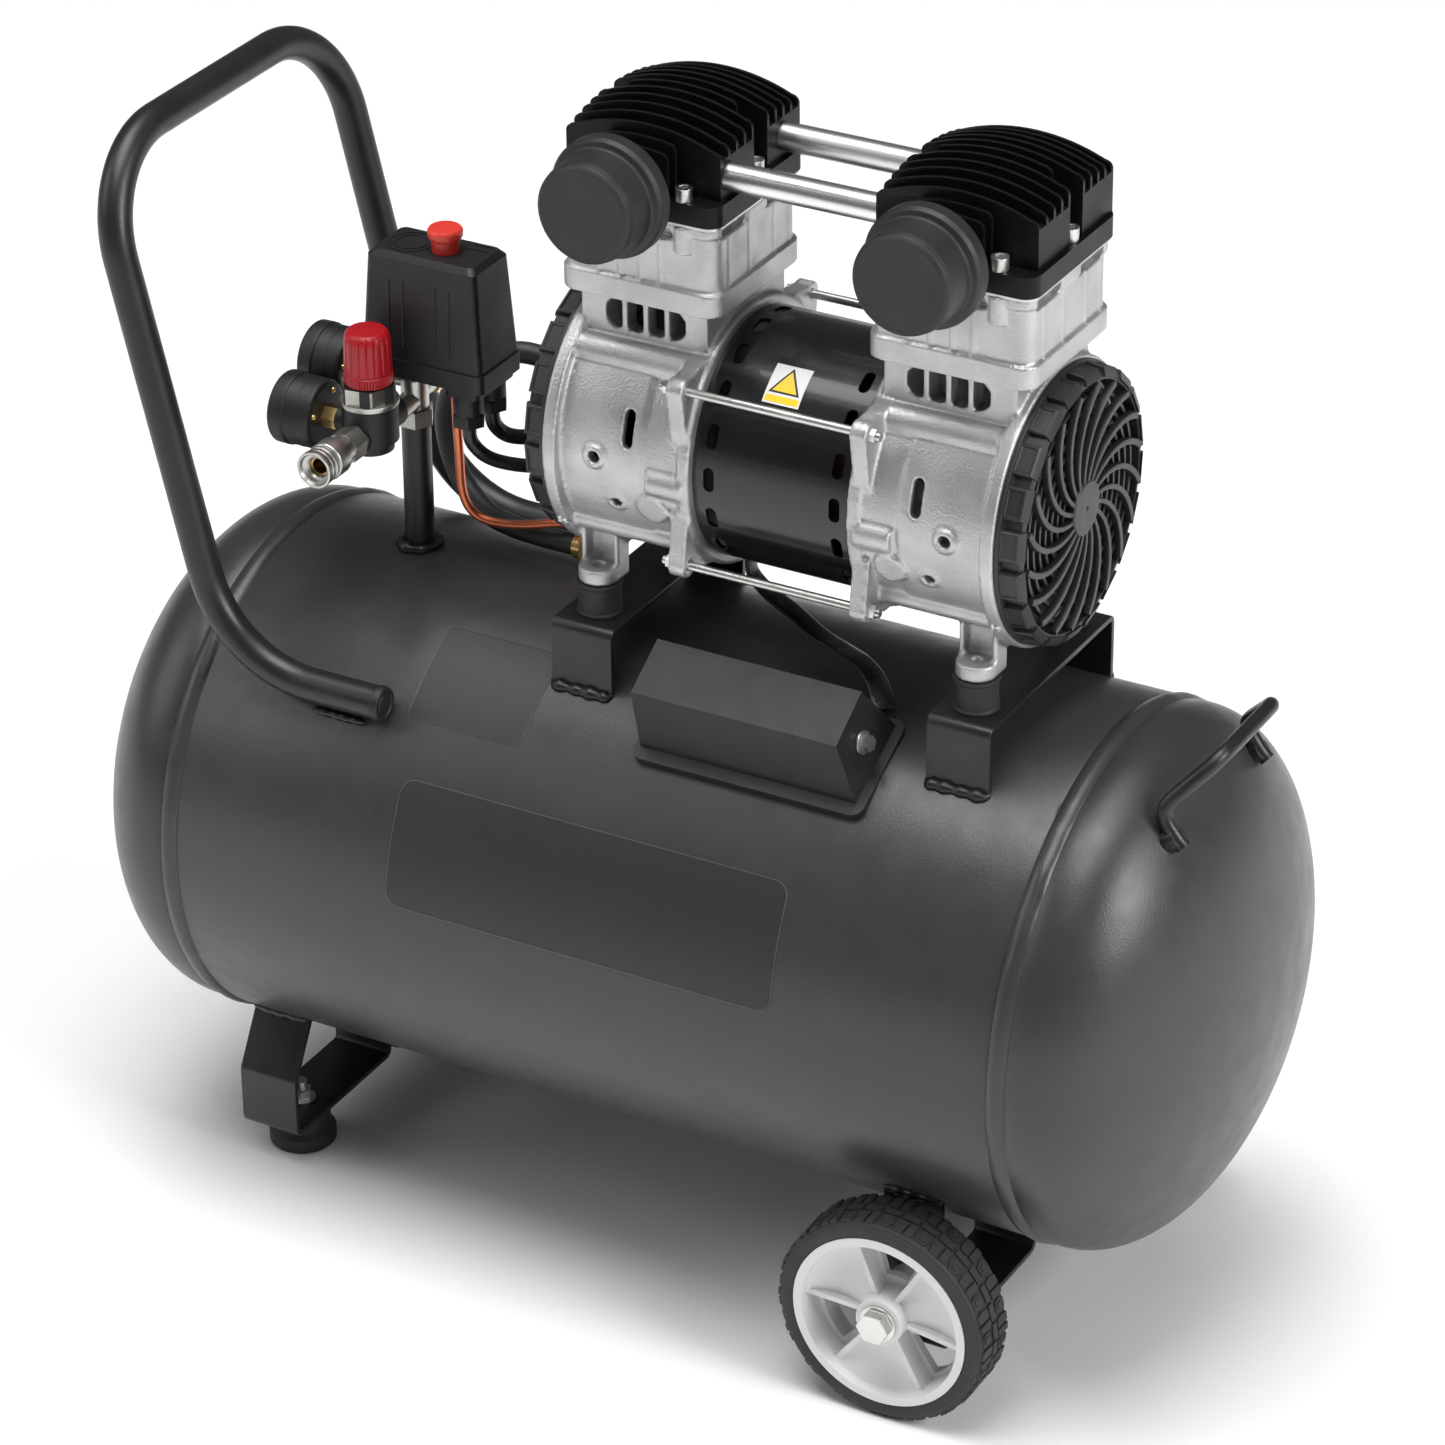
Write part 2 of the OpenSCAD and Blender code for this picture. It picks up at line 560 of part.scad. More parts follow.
// The crown falls away to the front and the back
function crown_at(y) = crown_h - 0.0034 * pow(y - 6, 2);
module cylinder_head(inner_side) {
    wall_top = 35;
    group = 4 * fin_pitch + fin_w;
    rear_y = fins_front + 6 * fin_pitch;
    difference() {
        union() {
            linear_extrude(plate_h) rounded(100, 100, 9);
            translate([0, 4.5, 0]) linear_extrude(24) rounded(84, 84, 4);
            // ten long fins in two groups, with a short one between them
            for (i = [0:10]) let (y = fins_front + i * fin_pitch)
                fin(y, i == 5 ? 33 : fin_half, crown_at(y));
            for (x = [-fin_half, fin_half - 6], y = [fins_front, rear_y])
                translate([x, y, plate_h - 1]) cube([6, group, wall_top - plate_h + 1]);
            // bridge behind each side bolt
            for (x = [-36, 31]) translate([x, -4, plate_h - 1]) cube([5, 17, wall_top - plate_h + 2]);
            // two low fins over the intake
            fin(-44, 22.5, crown_at(-44) - 3);
            fin(-49, 20.5, crown_at(-49) - 5.5);
            translate([1, -36, 20.5]) facing_front() cylinder(r = 17, h = 20);
        }
        translate([0, 0, -1]) linear_extrude(12) rounded(60, 60, 6);
        for (y = [-30, 30]) translate([inner_side * 42, y, 24]) along_x()
            cylinder(r = 6, h = 20, center = true);
        at_front_bolts() translate([0, 0, -1]) cylinder(r = 2.6, h = plate_h + 2);
        at_side_bolts() translate([0, 0, -1]) cylinder(r = 2.6, h = plate_h + 2);
        for (x = [-58, 36]) translate([x, fins_front + group, plate_h])
            cube([22, rear_y - fins_front - group, 12.5]);
    }
}
module cylinder_heads() {
    color("#18181a") for (s = [-1, 1]) translate([pump_x + s * cyl_half, 0, head_z]) cylinder_head(-s);
}
module cap_screw() {
    translate([0, 0, plate_h]) difference() {
        cylinder(r = 4.9, h = 7.5);
        translate([0, 0, 3.5]) hex(5, 5);
    }
    translate([0, 0, -13]) cylinder(r = 2.5, h = plate_h + 13);
}
module head_bolts() {
    color("#b8babc") at_cylinders() translate([0, 0, head_z]) {
        at_front_bolts() cap_screw();
        at_side_bolts() cap_screw();
    }
}
module intake_filters() {
    color("#1d1d1e") at_cylinders() translate([1, -56, head_z + 20.5]) facing_front() rotate_extrude()
        polygon([[0, 0], [17.5, 0], [17.5, 13], [31, 13.6], [33.4, 14.5], [34, 16], [34, 23], [32.6, 25.6],
                 [30, 26.4], [28.4, 44], [27.6, 47.5], [25.4, 49.4], [0, 49.5]]);
}
module crossover_tubes() {
    tube_len = 2 * (cyl_half - fin_half);
    color("#d8dadc") translate([pump_x - tube_len / 2, 0, head_z + 24]) mirror_y()
        translate([0, 30, 0]) along_x() ring(8, 6, tube_len);
}
module tie_rods() {
    rod_half = shell_half + 18;
    color("#c8c8c6") at_pump() mirror_y() for (s = [-1, 1]) translate([0, tie_y, s * tie_z]) {
        along_x() cylinder(r = 2.5, h = 2 * rod_half, center = true);
        mirror_x() translate([shell_half + 12, 0, 0]) along_x() hex(7, 3.5);
    }
}
module fan() {
    blades = 9;
    translate([drum_end - 24, 0, 0]) along_x() {
        ring(14, 7.5, 20);
        ring(62, 12, 2);
        for (i = [0:blades - 1]) rotate([0, 0, i * 360 / blades]) translate([12, -1, 1]) rotate([0, 0, 12])
            cube([48, 2, 18]);
    }
}
module cooling_fans() { color("#2a2a2c") pump_sides() fan(); }
fan_spokes = 20;
module fan_cover() {
    depth = cover_end - drum_end;
    pitch = 360 / fan_spokes;
    translate([drum_end, 0, 0]) along_x() {
        rotate_extrude() polygon([[69, 0], [78, 0], [78, 3], [73, 3], [73, depth - 3], [69, depth - 3]]);
        for (i = [0:fan_spokes - 1]) rotate([0, 0, i * pitch]) {
            translate([70, -7.5, 1]) cube([6, 15, depth - 3]);
            // swirled spoke in three straight lengths
            for (leg = [[10, 0, 31, 28], [33, 11.8, 17.5, 24], [55.3, 19.5, 2, 15.5]])
                translate([leg[0], leg[1], depth - 4]) rotate([0, 0, leg[2]])
                    translate([0, -1.5, 0]) cube([leg[3], 3, 4]);
        }
        translate([0, 0, depth - 4.5]) cylinder(r = 13, h = 4);
        for (r = [25:12:61]) translate([0, 0, depth - 6]) ring(r + 1.2, r - 1.2, 3);
    }
}
// The same moulding at both ends
module fan_covers() { color("#1b1b1c") at_pump() for (a = [0, 180]) rotate([0, 0, a]) fan_cover(); }

// ---- capacitor box ----
module at_box() {
    translate([box_x, 0, tank_z]) rotate([box_angle, 0, 0]) translate([0, 0, tank_r]) children();
}
// Housing in side view: tank at the bottom, facets in front and on top
module box_outline(d) {
    polygon([[-29 + d, -8], [-20 + d, 42 - d], [15 - d * 0.6, 40 - d], [28 - d, -8]]);
}
module box_solid(d) {
    intersection() {
        rotate([90, 0, 90]) linear_extrude(133 - 2 * d, center = true) mirror([1, 0]) box_outline(d);
        facing_front() linear_extrude(90, center = true)
            polygon([[-67 + d, -10], [-66 + d, 60], [56.5 - d, 60], [59 - d, 43],
                     [66.5 - d, 2], [66.5 - d, -10]]);
    }
}
module capacitor_box() {
    color("#1e1e20") difference() {
        at_box() {
            box_solid(0);
            translate([1, -1, -10]) linear_extrude(12) rounded(142, 64, 7);
        }
        at_box() box_solid(2.5);
        tank_body();
    }
    color("#c8c8c6") at_box() translate([63, 1, 22]) rotate([0, 81, 0]) {
        cylinder(r = 6.5, h = 1.5);
        hex(8, 6);
    }
}
module capacitors() {
    color("#d9d9d4") at_box() for (x = [-33, 25]) translate([x, -3, 18]) along_x()
        cylinder(r = 15, h = 52, center = true);
}

// ---- pressure switch ----
module switch_base() {
    color("#1d1d1f") translate([-165.75, 0, switch_z]) difference() {
        union() {
            linear_extrude(11) rounded(79.5, 45, 4.5);
            translate([24.75, 0, -5]) linear_extrude(6) rounded(22, 42, 4);
        }
        translate([0, 0, 3]) linear_extrude(9) rounded(73, 38, 3);
        translate([-18.25, 0, -6]) cylinder(r = 6, h = 12);
    }
}
module cover_form(d) {
    hull() {
        translate([0, 0, switch_z + 11]) linear_extrude(1) rounded(77.5 - 2 * d, 43 - 2 * d, 4, $fn = 32);
        translate([0, 0, 563 - d]) linear_extrude(1) rounded(70 - 2 * d, 38 - 2 * d, 4, $fn = 32);
        translate([0, 0, 566.5 - d]) linear_extrude(1) rounded(64 - 2 * d, 32 - 2 * d, 4, $fn = 32);
    }
}
knob_x = -160;
module switch_cover() {
    color("#1d1d1f") difference() {
        translate([-165.75, 0, 0]) cover_form(0);
        translate([-165.75, 0, -2]) cover_form(2.5);
        translate([knob_x, 0, 540]) cylinder(r = 8.4, h = 40);
        for (x = [-186, -177, -156, -147])
            translate([x, -22.3, 514]) rotate([4, 0, 0]) cube([1.2, 1.4, 38]);
    }
}
module switch_contacts() {
    color("#d8d4c8") translate([-165.75, 0, switch_z + 3]) {
        linear_extrude(20) rounded(52, 28, 3);
        for (x = [-18, 0, 18]) translate([x, 0, 20]) cylinder(r = 4, h = 6);
    }
}
module switch_knob() {
    color("#e8382c") translate([knob_x, 0, 0]) {
        translate([0, 0, 545]) cylinder(r = 8, h = 30);
        translate([0, 0, 574]) rotate_extrude()
            polygon([[0, 0], [8.5, 0], [10, 2.5], [10, 5.5], [9, 7], [0, 7.5]]);
    }
}
module cable_glands() {
    color("#19191a") for (s = [-1, 1]) translate([-141, s * 12, 0]) difference() {
        union() {
            translate([0, 0, 476]) cylinder(r = 8.6, h = 13);
            translate([0, 0, 470]) hex(17, 7);
        }
        translate([0, 0, 469]) cylinder(r = 4.5, h = 21);
    }
}

// ---- air fittings ----
module riser_pipe() {
    color("#232324") translate([-riser_x, 0, 0]) difference() {
        union() {
            translate([0, 0, tank_z + 120]) cylinder(r = 8.5, h = manifold_z - tank_z - 120);
            translate([0, 0, tank_z + 150]) cylinder(r = 13.5, h = 8);
        }
        translate([riser_x, 0, 0]) tank_body();
        translate([0, 0, tank_z + 100]) cylinder(r = 6, h = 200);
    }
}
module manifold() {
    color("#c4c4c0") translate([-riser_x, 0, manifold_z]) difference() {
        union() {
            cylinder(r = 8, h = 38);
            hex(19, 10);
            translate([0, 0, 29]) hex(17, 9);
            // arms to the tank gauge, the safety valve and the regulator
            for (arm = [[180, 27, 6, 16], [90, 19, 6, 16], [-90, 15, 6.5, 18]])
                rotate([0, 0, arm[0]]) translate([0, 0, arm[1]]) along_x() cylinder(r = arm[2], h = arm[3]);
        }
        translate([0, 0, -1]) cylinder(r = 4, h = 40);
    }
}
module regulator_body() {
    color("#1a1a1b") translate([-reg_x, -reg_y, 0]) {
        translate([0, 0, 458]) cylinder(r = 13, h = 8);
        translate([0, 0, 464]) cylinder(r = 16, h = 22);
        translate([0, 0, 471]) rotate([-90, 0, 0]) translate([0, 0, 10]) cylinder(r = 9.5, h = 14);
        translate([0, 0, coupler_z]) facing_front() cylinder(r = 9, h = 16.5);
        translate([-20, 0, outlet_gauge_z]) along_x() cylinder(r = 7, h = 12);
    }
    color("#c4c4c0") translate([-reg_x, -reg_y, 486]) {
        cylinder(r = 16.5, h = 2.5);
        translate([0, 0, 2.5]) hex(28, knob_z - 486 - 2.5);
    }
}
module regulator_knob() {
    color("#c8102e") translate([-reg_x, -reg_y, knob_z + gap]) difference() {
        union() {
            cylinder(r = knob_r, h = 7);
            translate([0, 0, 7]) cylinder(r = knob_r - 0.6, h = 21);
            translate([0, 0, 28]) rotate_extrude()
                polygon([[0, 0], [knob_r - 0.6, 0], [knob_r - 2.5, 3.4], [0, 4]]);
        }
        for (i = [0:17]) rotate([0, 0, i * 20]) translate([knob_r + 0.4, 0, 8]) cylinder(r = 1.4, h = 40);
    }
}
// A gauge faces -X; its dial centre is at the origin
gauge_depth = 27;
module gauge_case() {
    along_x() difference() {
        translate([0, 0, -gauge_depth / 2]) cylinder(r = gauge_r, h = gauge_depth);
        translate([0, 0, -gauge_depth / 2 - 1]) cylinder(r = gauge_r - 1.6, h = 12);
    }
}
module gauge_lens() {
    translate([-gauge_depth / 2 + 1, 0, 0]) along_x() cylinder(r = gauge_r - 1.6, h = 1.6);
}
module gauge_needle() {
    translate([-gauge_depth / 2 + 5, 0, 0]) along_x() {
        cylinder(r = 2.2, h = 3);
        translate([0, 0, 1]) rotate([0, 0, 45]) translate([-0.6, -5, 0]) cube([1.2, 20, 1]);
    }
}
outlet_gauge = [-229.5, -reg_y, outlet_gauge_z];
tank_gauge = [-236, 0, tank_gauge_z];
module gauge_cases() {
    color("#161617") for (p = [outlet_gauge, tank_gauge]) translate(p) gauge_case();
    color("#b8963e") translate(outlet_gauge + [gauge_depth / 2, 0, 0]) along_x() hex(12, 9);
    color("#b8963e") translate(tank_gauge + [gauge_depth / 2, 0, 0]) along_x() hex(12, 22.5);
}
module gauge_lenses() {
    color("#dfe8ea", 0.4) for (p = [outlet_gauge, tank_gauge]) translate(p) gauge_lens();
}
module outlet_gauge_needle() { color("#b02020") translate(outlet_gauge) gauge_needle(); }
module tank_gauge_needle() { color("#b02020") translate(tank_gauge) gauge_needle(); }
module coupler_body() {
    color("#c9c8c4") translate([-reg_x, -reg_y - 16.5, coupler_z]) facing_front() difference() {
        union() {
            hex(17, 13);
            cylinder(r = 8.5, h = 42.5);
            translate([0, 0, 38.5]) cylinder(r = 10.8, h = 4);
        }
        translate([0, 0, 10]) cylinder(r = coupler_bore_r, h = 40);
    }
}
module coupler_sleeve() {
    color("#bdbcb8") translate([-reg_x, -reg_y - 16.5, coupler_z]) facing_front() difference() {
        union() {
            translate([0, 0, 19]) cylinder(r = 10.6, h = 19.3);
            translate([0, 0, 21]) cylinder(r = 11, h = 9);
        }
        cylinder(r = 8.57, h = 60);
        for (i = [0:29]) rotate([0, 0, i * 12])
            translate([11.1, 0, 20.9]) cylinder(r = 0.4, h = 9.2, $fn = 6);
    }
}
module safety_valve() {
    color("#b8963e") translate([-riser_x, 16, manifold_z + 19]) rotate([-90, 0, 0]) {
        hex(14, 7);
        translate([0, 0, 7]) cylinder(r = 6, h = 9);
        translate([0, 0, 16]) cylinder(r = 7, h = 7);
    }
}
module safety_valve_pull() {
    color("#c4c4c0") translate([-riser_x, 39 + gap, manifold_z + 19]) {
        rotate([-90, 0, 0]) cylinder(r = 1.6, h = 6);
        translate([0, 10, 0]) rotate([0, 90, 0]) rotate_extrude() translate([5, 0]) circle(0.9);
    }
}
module check_valve() {
    color("#b8963e") translate([-check_x, check_y, 0]) difference() {
        union() {
            translate([0, 0, tank_z + 140]) cylinder(r = 10, h = 20);
            translate([0, 0, tank_z + 156]) hex(21, 20);
            translate([0, 0, tank_z + 174]) cylinder(r = 5, h = 9);
            translate([-13, 0, 390]) along_x() cylinder(r = 7.5, h = 10);
        }
        translate([check_x, -check_y, 0]) tank_body();
    }
}
module drain_valve() {
    color("#b8963e") {
        translate([0, 0, 52]) cylinder(r = 6, h = 16);
        translate([0, 0, 52]) hex(17, 8);
        translate([-11, -1.5, 46]) cube([22, 3, 7]);
    }
}
module delivery_hose() {
    color("#1c1c1d") sweep(HOSE, 6.5, 6.5, up = [1, 0, 0], sides = 12);
    color("#b8963e") translate([pump_x - cyl_half, 48, head_z + 20]) rotate([-90, 0, 0]) {
        cylinder(r = 7.2, h = 22);
        hex(16, 8);
    }
}
module unloader_tube() { color("#c4512a") sweep(COPPER, 2.5, 2.5, up = [1, 0, 0]); }
module electric_leads() {
    color("#171718") sweep(NEAR_LEAD, 4, 4, up = [1, 0, 0]);
    color("#171718") sweep(FAR_LEAD, 4.4, 4.4, up = [1, 0, 0]);
    color("#171718") sweep(CAP_LEAD, 2, 6.5, up = [1, 0, 0]);
}

tank_shell();
tank_heads();
tow_handle();
handle_end_caps();
lift_handle();
foot_brackets();
wheel_brackets();
rubber_feet();
foot_bolts();
mirror([0, 1, 0]) wheel_rim();  // front_wheel_rim
mirror([0, 1, 0]) wheel_tyre();  // front_wheel_tyre
wheel_rim();  // rear_wheel_rim
wheel_tyre();  // rear_wheel_tyre
axle_bolts();
pump_brackets();
rubber_mounts();
mount_studs();
motor_shell();
stator_core();
stator_windings();
rotor_core();
crankshaft();
shaft_bearings();
left_crankcase();
right_crankcase();
cylinder_blocks();
left_piston();
right_piston();
valve_plates();
cylinder_heads();
head_bolts();
intake_filters();
crossover_tubes();
tie_rods();
cooling_fans();
fan_covers();
capacitor_box();
capacitors();
switch_base();
switch_cover();
switch_contacts();
switch_knob();
cable_glands();
riser_pipe();
manifold();
regulator_body();
regulator_knob();
gauge_cases();
gauge_lenses();
outlet_gauge_needle();
tank_gauge_needle();
coupler_body();
coupler_sleeve();
safety_valve();
safety_valve_pull();
check_valve();
drain_valve();
delivery_hose();
unloader_tube();
electric_leads();
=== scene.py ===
import json
import math

import bmesh
import bpy
from mathutils import Matrix, Quaternion, Vector, noise


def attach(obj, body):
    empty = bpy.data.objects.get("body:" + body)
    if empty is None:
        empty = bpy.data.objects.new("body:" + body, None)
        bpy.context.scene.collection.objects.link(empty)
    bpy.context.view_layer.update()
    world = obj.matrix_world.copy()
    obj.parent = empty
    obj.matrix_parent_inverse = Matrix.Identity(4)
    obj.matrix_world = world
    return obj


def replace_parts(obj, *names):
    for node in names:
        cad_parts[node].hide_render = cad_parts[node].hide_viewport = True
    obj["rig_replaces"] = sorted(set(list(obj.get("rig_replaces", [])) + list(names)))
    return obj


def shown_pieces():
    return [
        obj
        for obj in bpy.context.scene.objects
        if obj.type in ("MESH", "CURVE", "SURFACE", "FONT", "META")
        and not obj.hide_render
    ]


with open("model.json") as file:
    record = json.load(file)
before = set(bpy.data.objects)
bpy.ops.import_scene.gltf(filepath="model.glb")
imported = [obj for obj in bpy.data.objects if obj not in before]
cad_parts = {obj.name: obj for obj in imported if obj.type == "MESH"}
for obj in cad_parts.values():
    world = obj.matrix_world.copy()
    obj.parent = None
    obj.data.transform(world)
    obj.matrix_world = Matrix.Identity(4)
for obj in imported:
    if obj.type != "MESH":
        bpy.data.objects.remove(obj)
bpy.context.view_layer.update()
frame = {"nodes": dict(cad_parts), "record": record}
MM = 0.001
TAU = 2 * math.pi


# ------------------------------------------------ materials
class Surface:
    """A procedural material: one Principled shader, with textures that use the row frame in metres."""

    def __init__(self, name, colour, rough, metal=0.0, **constants):
        self.material = bpy.data.materials.new(name)
        self.material.use_nodes = True
        self.tree = self.material.node_tree
        self.shader = self.tree.nodes["Principled BSDF"]
        self.base, self.rough = colour, rough
        self.shader.inputs["Base Color"].default_value = (*colour, 1)
        self.shader.inputs["Roughness"].default_value = rough
        self.shader.inputs["Metallic"].default_value = metal
        for socket, value in constants.items():
            self.shader.inputs[socket.replace("_", " ")].default_value = value
        self.place = self.add("ShaderNodeTexCoord").outputs["Object"]

    def add(self, kind, **inputs):
        node = self.tree.nodes.new(kind)
        for socket, value in inputs.items():
            self.feed(node.inputs[socket.replace("_", " ")], value)
        return node

    def feed(self, socket, value):
        if isinstance(value, bpy.types.NodeSocket):
            self.tree.links.new(value, socket)
        else:
            socket.default_value = value

    def noise(self, scale, detail=2.0, stretch=(1, 1, 1)):
        """Noise with features of about 1/scale metres; stretch lengthens them along an axis."""
        mapping = self.add("ShaderNodeMapping", Vector=self.place)
        mapping.inputs["Scale"].default_value = [1 / s for s in stretch]
        texture = self.add("ShaderNodeTexNoise", Vector=mapping.outputs[0], Scale=scale, Detail=detail)
        return texture.outputs["Fac"]

    def ramp(self, value, low, high):
        """Spreads the middle of a noise, where nearly all its values are, over low to high."""
        node = self.add("ShaderNodeMapRange", Value=value, From_Min=0.3, From_Max=0.7,
                        To_Min=low, To_Max=high)
        return node.outputs[0]

    def mix(self, amount, first, second):
        node = self.tree.nodes.new("ShaderNodeMix")
        node.data_type = "RGBA"
        self.feed(node.inputs[0], amount)
        node.inputs[6].default_value = (*first, 1)
        node.inputs[7].default_value = (*second, 1)
        return node.outputs[2]

    def relief(self, height, distance):
        """Bumps the surface by a height of that many metres."""
        node = self.add("ShaderNodeBump", Height=height, Distance=distance, Strength=1.0)
        self.feed(self.shader.inputs["Normal"], node.outputs[0])
        return self

    def mottle(self, scale, spread, rough_spread=0.0, stretch=(1, 1, 1)):
        """Varies the colour and the roughness a little over the surface."""
        value = self.noise(scale, 4.0, stretch)
        dark = [c * (1 - spread) for c in self.base]
        light = [min(1, c * (1 + spread)) for c in self.base]
        self.feed(self.shader.inputs["Base Color"], self.mix(self.ramp(value, 0, 1), dark, light))
        if rough_spread:
            value = self.noise(scale * 1.7, 3.0, stretch)
            wear = self.ramp(value, self.rough - rough_spread, self.rough + rough_spread)
            self.feed(self.shader.inputs["Roughness"], wear)
        return self


def grained(name, colour, rough, grain, depth, spread=0.06, rough_spread=0.05, metal=0.0, **constants):
    """A surface with a fine even grain: grain in features per metre, depth in metres."""
    surface = Surface(name, colour, rough, metal, **constants)
    surface.mottle(35, spread, rough_spread)
    return surface.relief(surface.noise(grain, 3.0), depth)


def make_materials():
    looks = {
        "tank_paint": grained("tank_powder_coat", (0.036, 0.036, 0.0385), 0.33, 1100, 0.00012, 0.05),
        "bracket_paint": grained("black_powder_coat", (0.012, 0.012, 0.013), 0.36, 1300, 0.0001),
        "zinc": grained("zinc_plate", (0.64, 0.64, 0.62), 0.33, 900, 0.00004, 0.1, 0.08, metal=1.0),
        "rubber_black": grained("moulded_rubber", (0.017, 0.017, 0.018), 0.62, 1500, 0.0001),
        "tyre_rubber": grained("solid_tyre", (0.022, 0.022, 0.023), 0.66, 1600, 0.00014, 0.15),
        "white_rim": grained("white_polypropylene", (0.72, 0.72, 0.715), 0.38, 900, 0.00005, 0.02),
        "black_plastic": grained("grained_black_plastic", (0.008, 0.008, 0.009), 0.46, 2200, 0.00013),
        "cast_alloy": grained("blasted_casting", (0.53, 0.535, 0.545), 0.44, 800, 0.00034, 0.1, 0.08,
                              metal=0.85),
        "head_paint": grained("black_over_casting", (0.004, 0.004, 0.0045), 0.38, 1200, 0.00014,
                              Specular_IOR_Level=0.2),
        # A lighter colour for the rounded edge strips of some nodes.
        "head_edge": grained("lighter_edge_strip", (0.10, 0.10, 0.103), 0.36, 900, 0.0001, 0.25),
        "polished_tube": Surface("drawn_tube", (0.80, 0.80, 0.81), 0.30, 1.0).mottle(
            60, 0.04, 0.05, (20, 1, 1)),
        "motor_gloss": grained("gloss_enamel", (0.007, 0.007, 0.008), 0.24, 260, 0.00006, 0.02, 0.03,
                               Coat_Weight=0.25),
        "lamination": grained("lamination", (0.14, 0.14, 0.145), 0.45, 900, 0.0001, metal=1.0),
        "copper": grained("drawn_copper", (0.70, 0.19, 0.09), 0.32, 700, 0.00006, 0.1, metal=0.85),
        "steel": grained("ground_steel", (0.58, 0.59, 0.6), 0.3, 900, 0.00006, metal=1.0),
        "nickel": grained("nickel_plate", (0.52, 0.51, 0.48), 0.36, 700, 0.00005, 0.1, metal=1.0),
        "brass": grained("machined_brass", (0.72, 0.50, 0.20), 0.28, 700, 0.00006, metal=1.0),
        "red_knob": grained("crimson_moulding", (0.40, 0.005, 0.012), 0.34, 1000, 0.00005, 0.05),
        "orange_knob": grained("orange_red_moulding", (0.72, 0.045, 0.03), 0.33, 1000, 0.00005, 0.05),
        "lens": Surface("clear_lens", (0.95, 0.97, 0.97), 0.04, Transmission_Weight=0.9, IOR=1.49),
        "capacitor_case": grained("capacitor_case", (0.7, 0.7, 0.68), 0.35, 600, 0.00005, metal=0.9),
        "contact_block": grained("phenolic", (0.6, 0.55, 0.45), 0.5, 900, 0.00008),
        "needle_red": grained("pointer_red", (0.6, 0.02, 0.02), 0.4, 900, 0.00002),
        "label_panel": grained("printed_panel", (0.019, 0.019, 0.020), 0.46, 2600, 0.00009, 0.05, 0.02),
        "label_line": grained("printed_line", (0.075, 0.075, 0.078), 0.4, 900, 0.00002),
        "grille_plastic": grained("grained_grille", (0.022, 0.022, 0.023), 0.42, 1800, 0.00012),
        "winding_varnish": grained("winding_varnish", (0.05, 0.022, 0.014), 0.4, 500, 0.0004, 0.3),
        "satin_rubber": grained("satin_rubber", (0.013, 0.013, 0.014), 0.52, 1800, 0.00006),
        "braided_hose": grained("rubber_hose", (0.019, 0.019, 0.02), 0.5, 1500, 0.0001),
        "pvc_sleeve": grained("pvc_sleeve", (0.012, 0.012, 0.013), 0.28, 220, 0.0003, 0.1),
        "dial_white": grained("dial_white", (0.82, 0.82, 0.8), 0.45, 900, 0.00001, 0.02),
        # Dark ink for print on the dials and sticker, also used as painted shade for the switch cover's
        # two small holes.
        "ink_and_hole_shade": grained("ink_and_hole_shade", (0.012, 0.012, 0.012), 0.5, 900, 0.00001),
        "sticker_white": grained("sticker_white", (0.8, 0.8, 0.79), 0.35, 700, 0.00002, 0.02),
        "sticker_yellow": grained("sticker_yellow", (0.86, 0.62, 0.02), 0.35, 700, 0.00002, 0.03),
    }
    looks["lens"].relief(looks["lens"].noise(200), 0.00001)
    return {name: look.material for name, look in looks.items()}


MATERIALS = make_materials()
SLOT_OF = {s["node"]: s["material_slot"] for s in frame["record"]["subparts"]}
BODY_OF = {n: b for b, names in frame["record"]["behaviour"]["bodies"].items() for n in names}


# ------------------------------------------------ mesh helpers
def mesh_piece(name, mesh, body, slot, standing_for=()):
    """Puts a finished mesh, in metres in the row frame, on its body with its material."""
    piece = bpy.data.objects.new(name, mesh)
    bpy.context.scene.collection.objects.link(piece)
    mesh.materials.clear()
    mesh.materials.append(MATERIALS[slot])
    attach(piece, body)
    if standing_for:
        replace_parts(piece, *standing_for)
    return piece


def shade(mesh, degrees=35):
    for polygon in mesh.polygons:
        polygon.use_smooth = True
    mesh.set_sharp_from_angle(angle=math.radians(degrees))


def baked(piece):
    """Applies the piece's modifiers to its mesh."""
    graph = bpy.context.evaluated_depsgraph_get()
    mesh = bpy.data.meshes.new_from_object(piece.evaluated_get(graph))
    piece.modifiers.clear()
    piece.data = mesh
    return piece


def welded_copy(node):
    """A copy of a CAD node's mesh with its corners joined and its flat faces whole."""
    mesh = frame["nodes"][node].data.copy()
    work = bmesh.new()
    work.from_mesh(mesh)
    bmesh.ops.remove_doubles(work, verts=work.verts, dist=0.002 * MM)
    bmesh.ops.dissolve_degenerate(work, edges=work.edges, dist=0.002 * MM)
    bmesh.ops.dissolve_limit(work, angle_limit=math.radians(0.4), verts=work.verts, edges=work.edges)
    work.to_mesh(mesh)
    work.free()
    return mesh


def rounded_node(node, radius, edge_slot):
    """Stands for a CAD node, with its edges rounded to a radius in millimetres.

    The rounded strips take the material named by edge_slot, where there is one."""
    piece = mesh_piece(node + "_rounded", welded_copy(node), BODY_OF[node], SLOT_OF[node], [node])
    bevel = piece.modifiers.new("edges", "BEVEL")
    bevel.width = radius * MM
    bevel.segments = 2
    bevel.limit_method = "ANGLE"
    bevel.angle_limit = math.radians(32)
    bevel.use_clamp_overlap = True
    bevel.miter_outer = "MITER_ARC"
    if edge_slot:
        piece.data.materials.append(MATERIALS[edge_slot])
        bevel.material = 1
    baked(piece)
    shade(piece.data, 40)
    even = piece.modifiers.new("even", "WEIGHTED_NORMAL")
    even.keep_sharp = True
    baked(piece)
    return piece


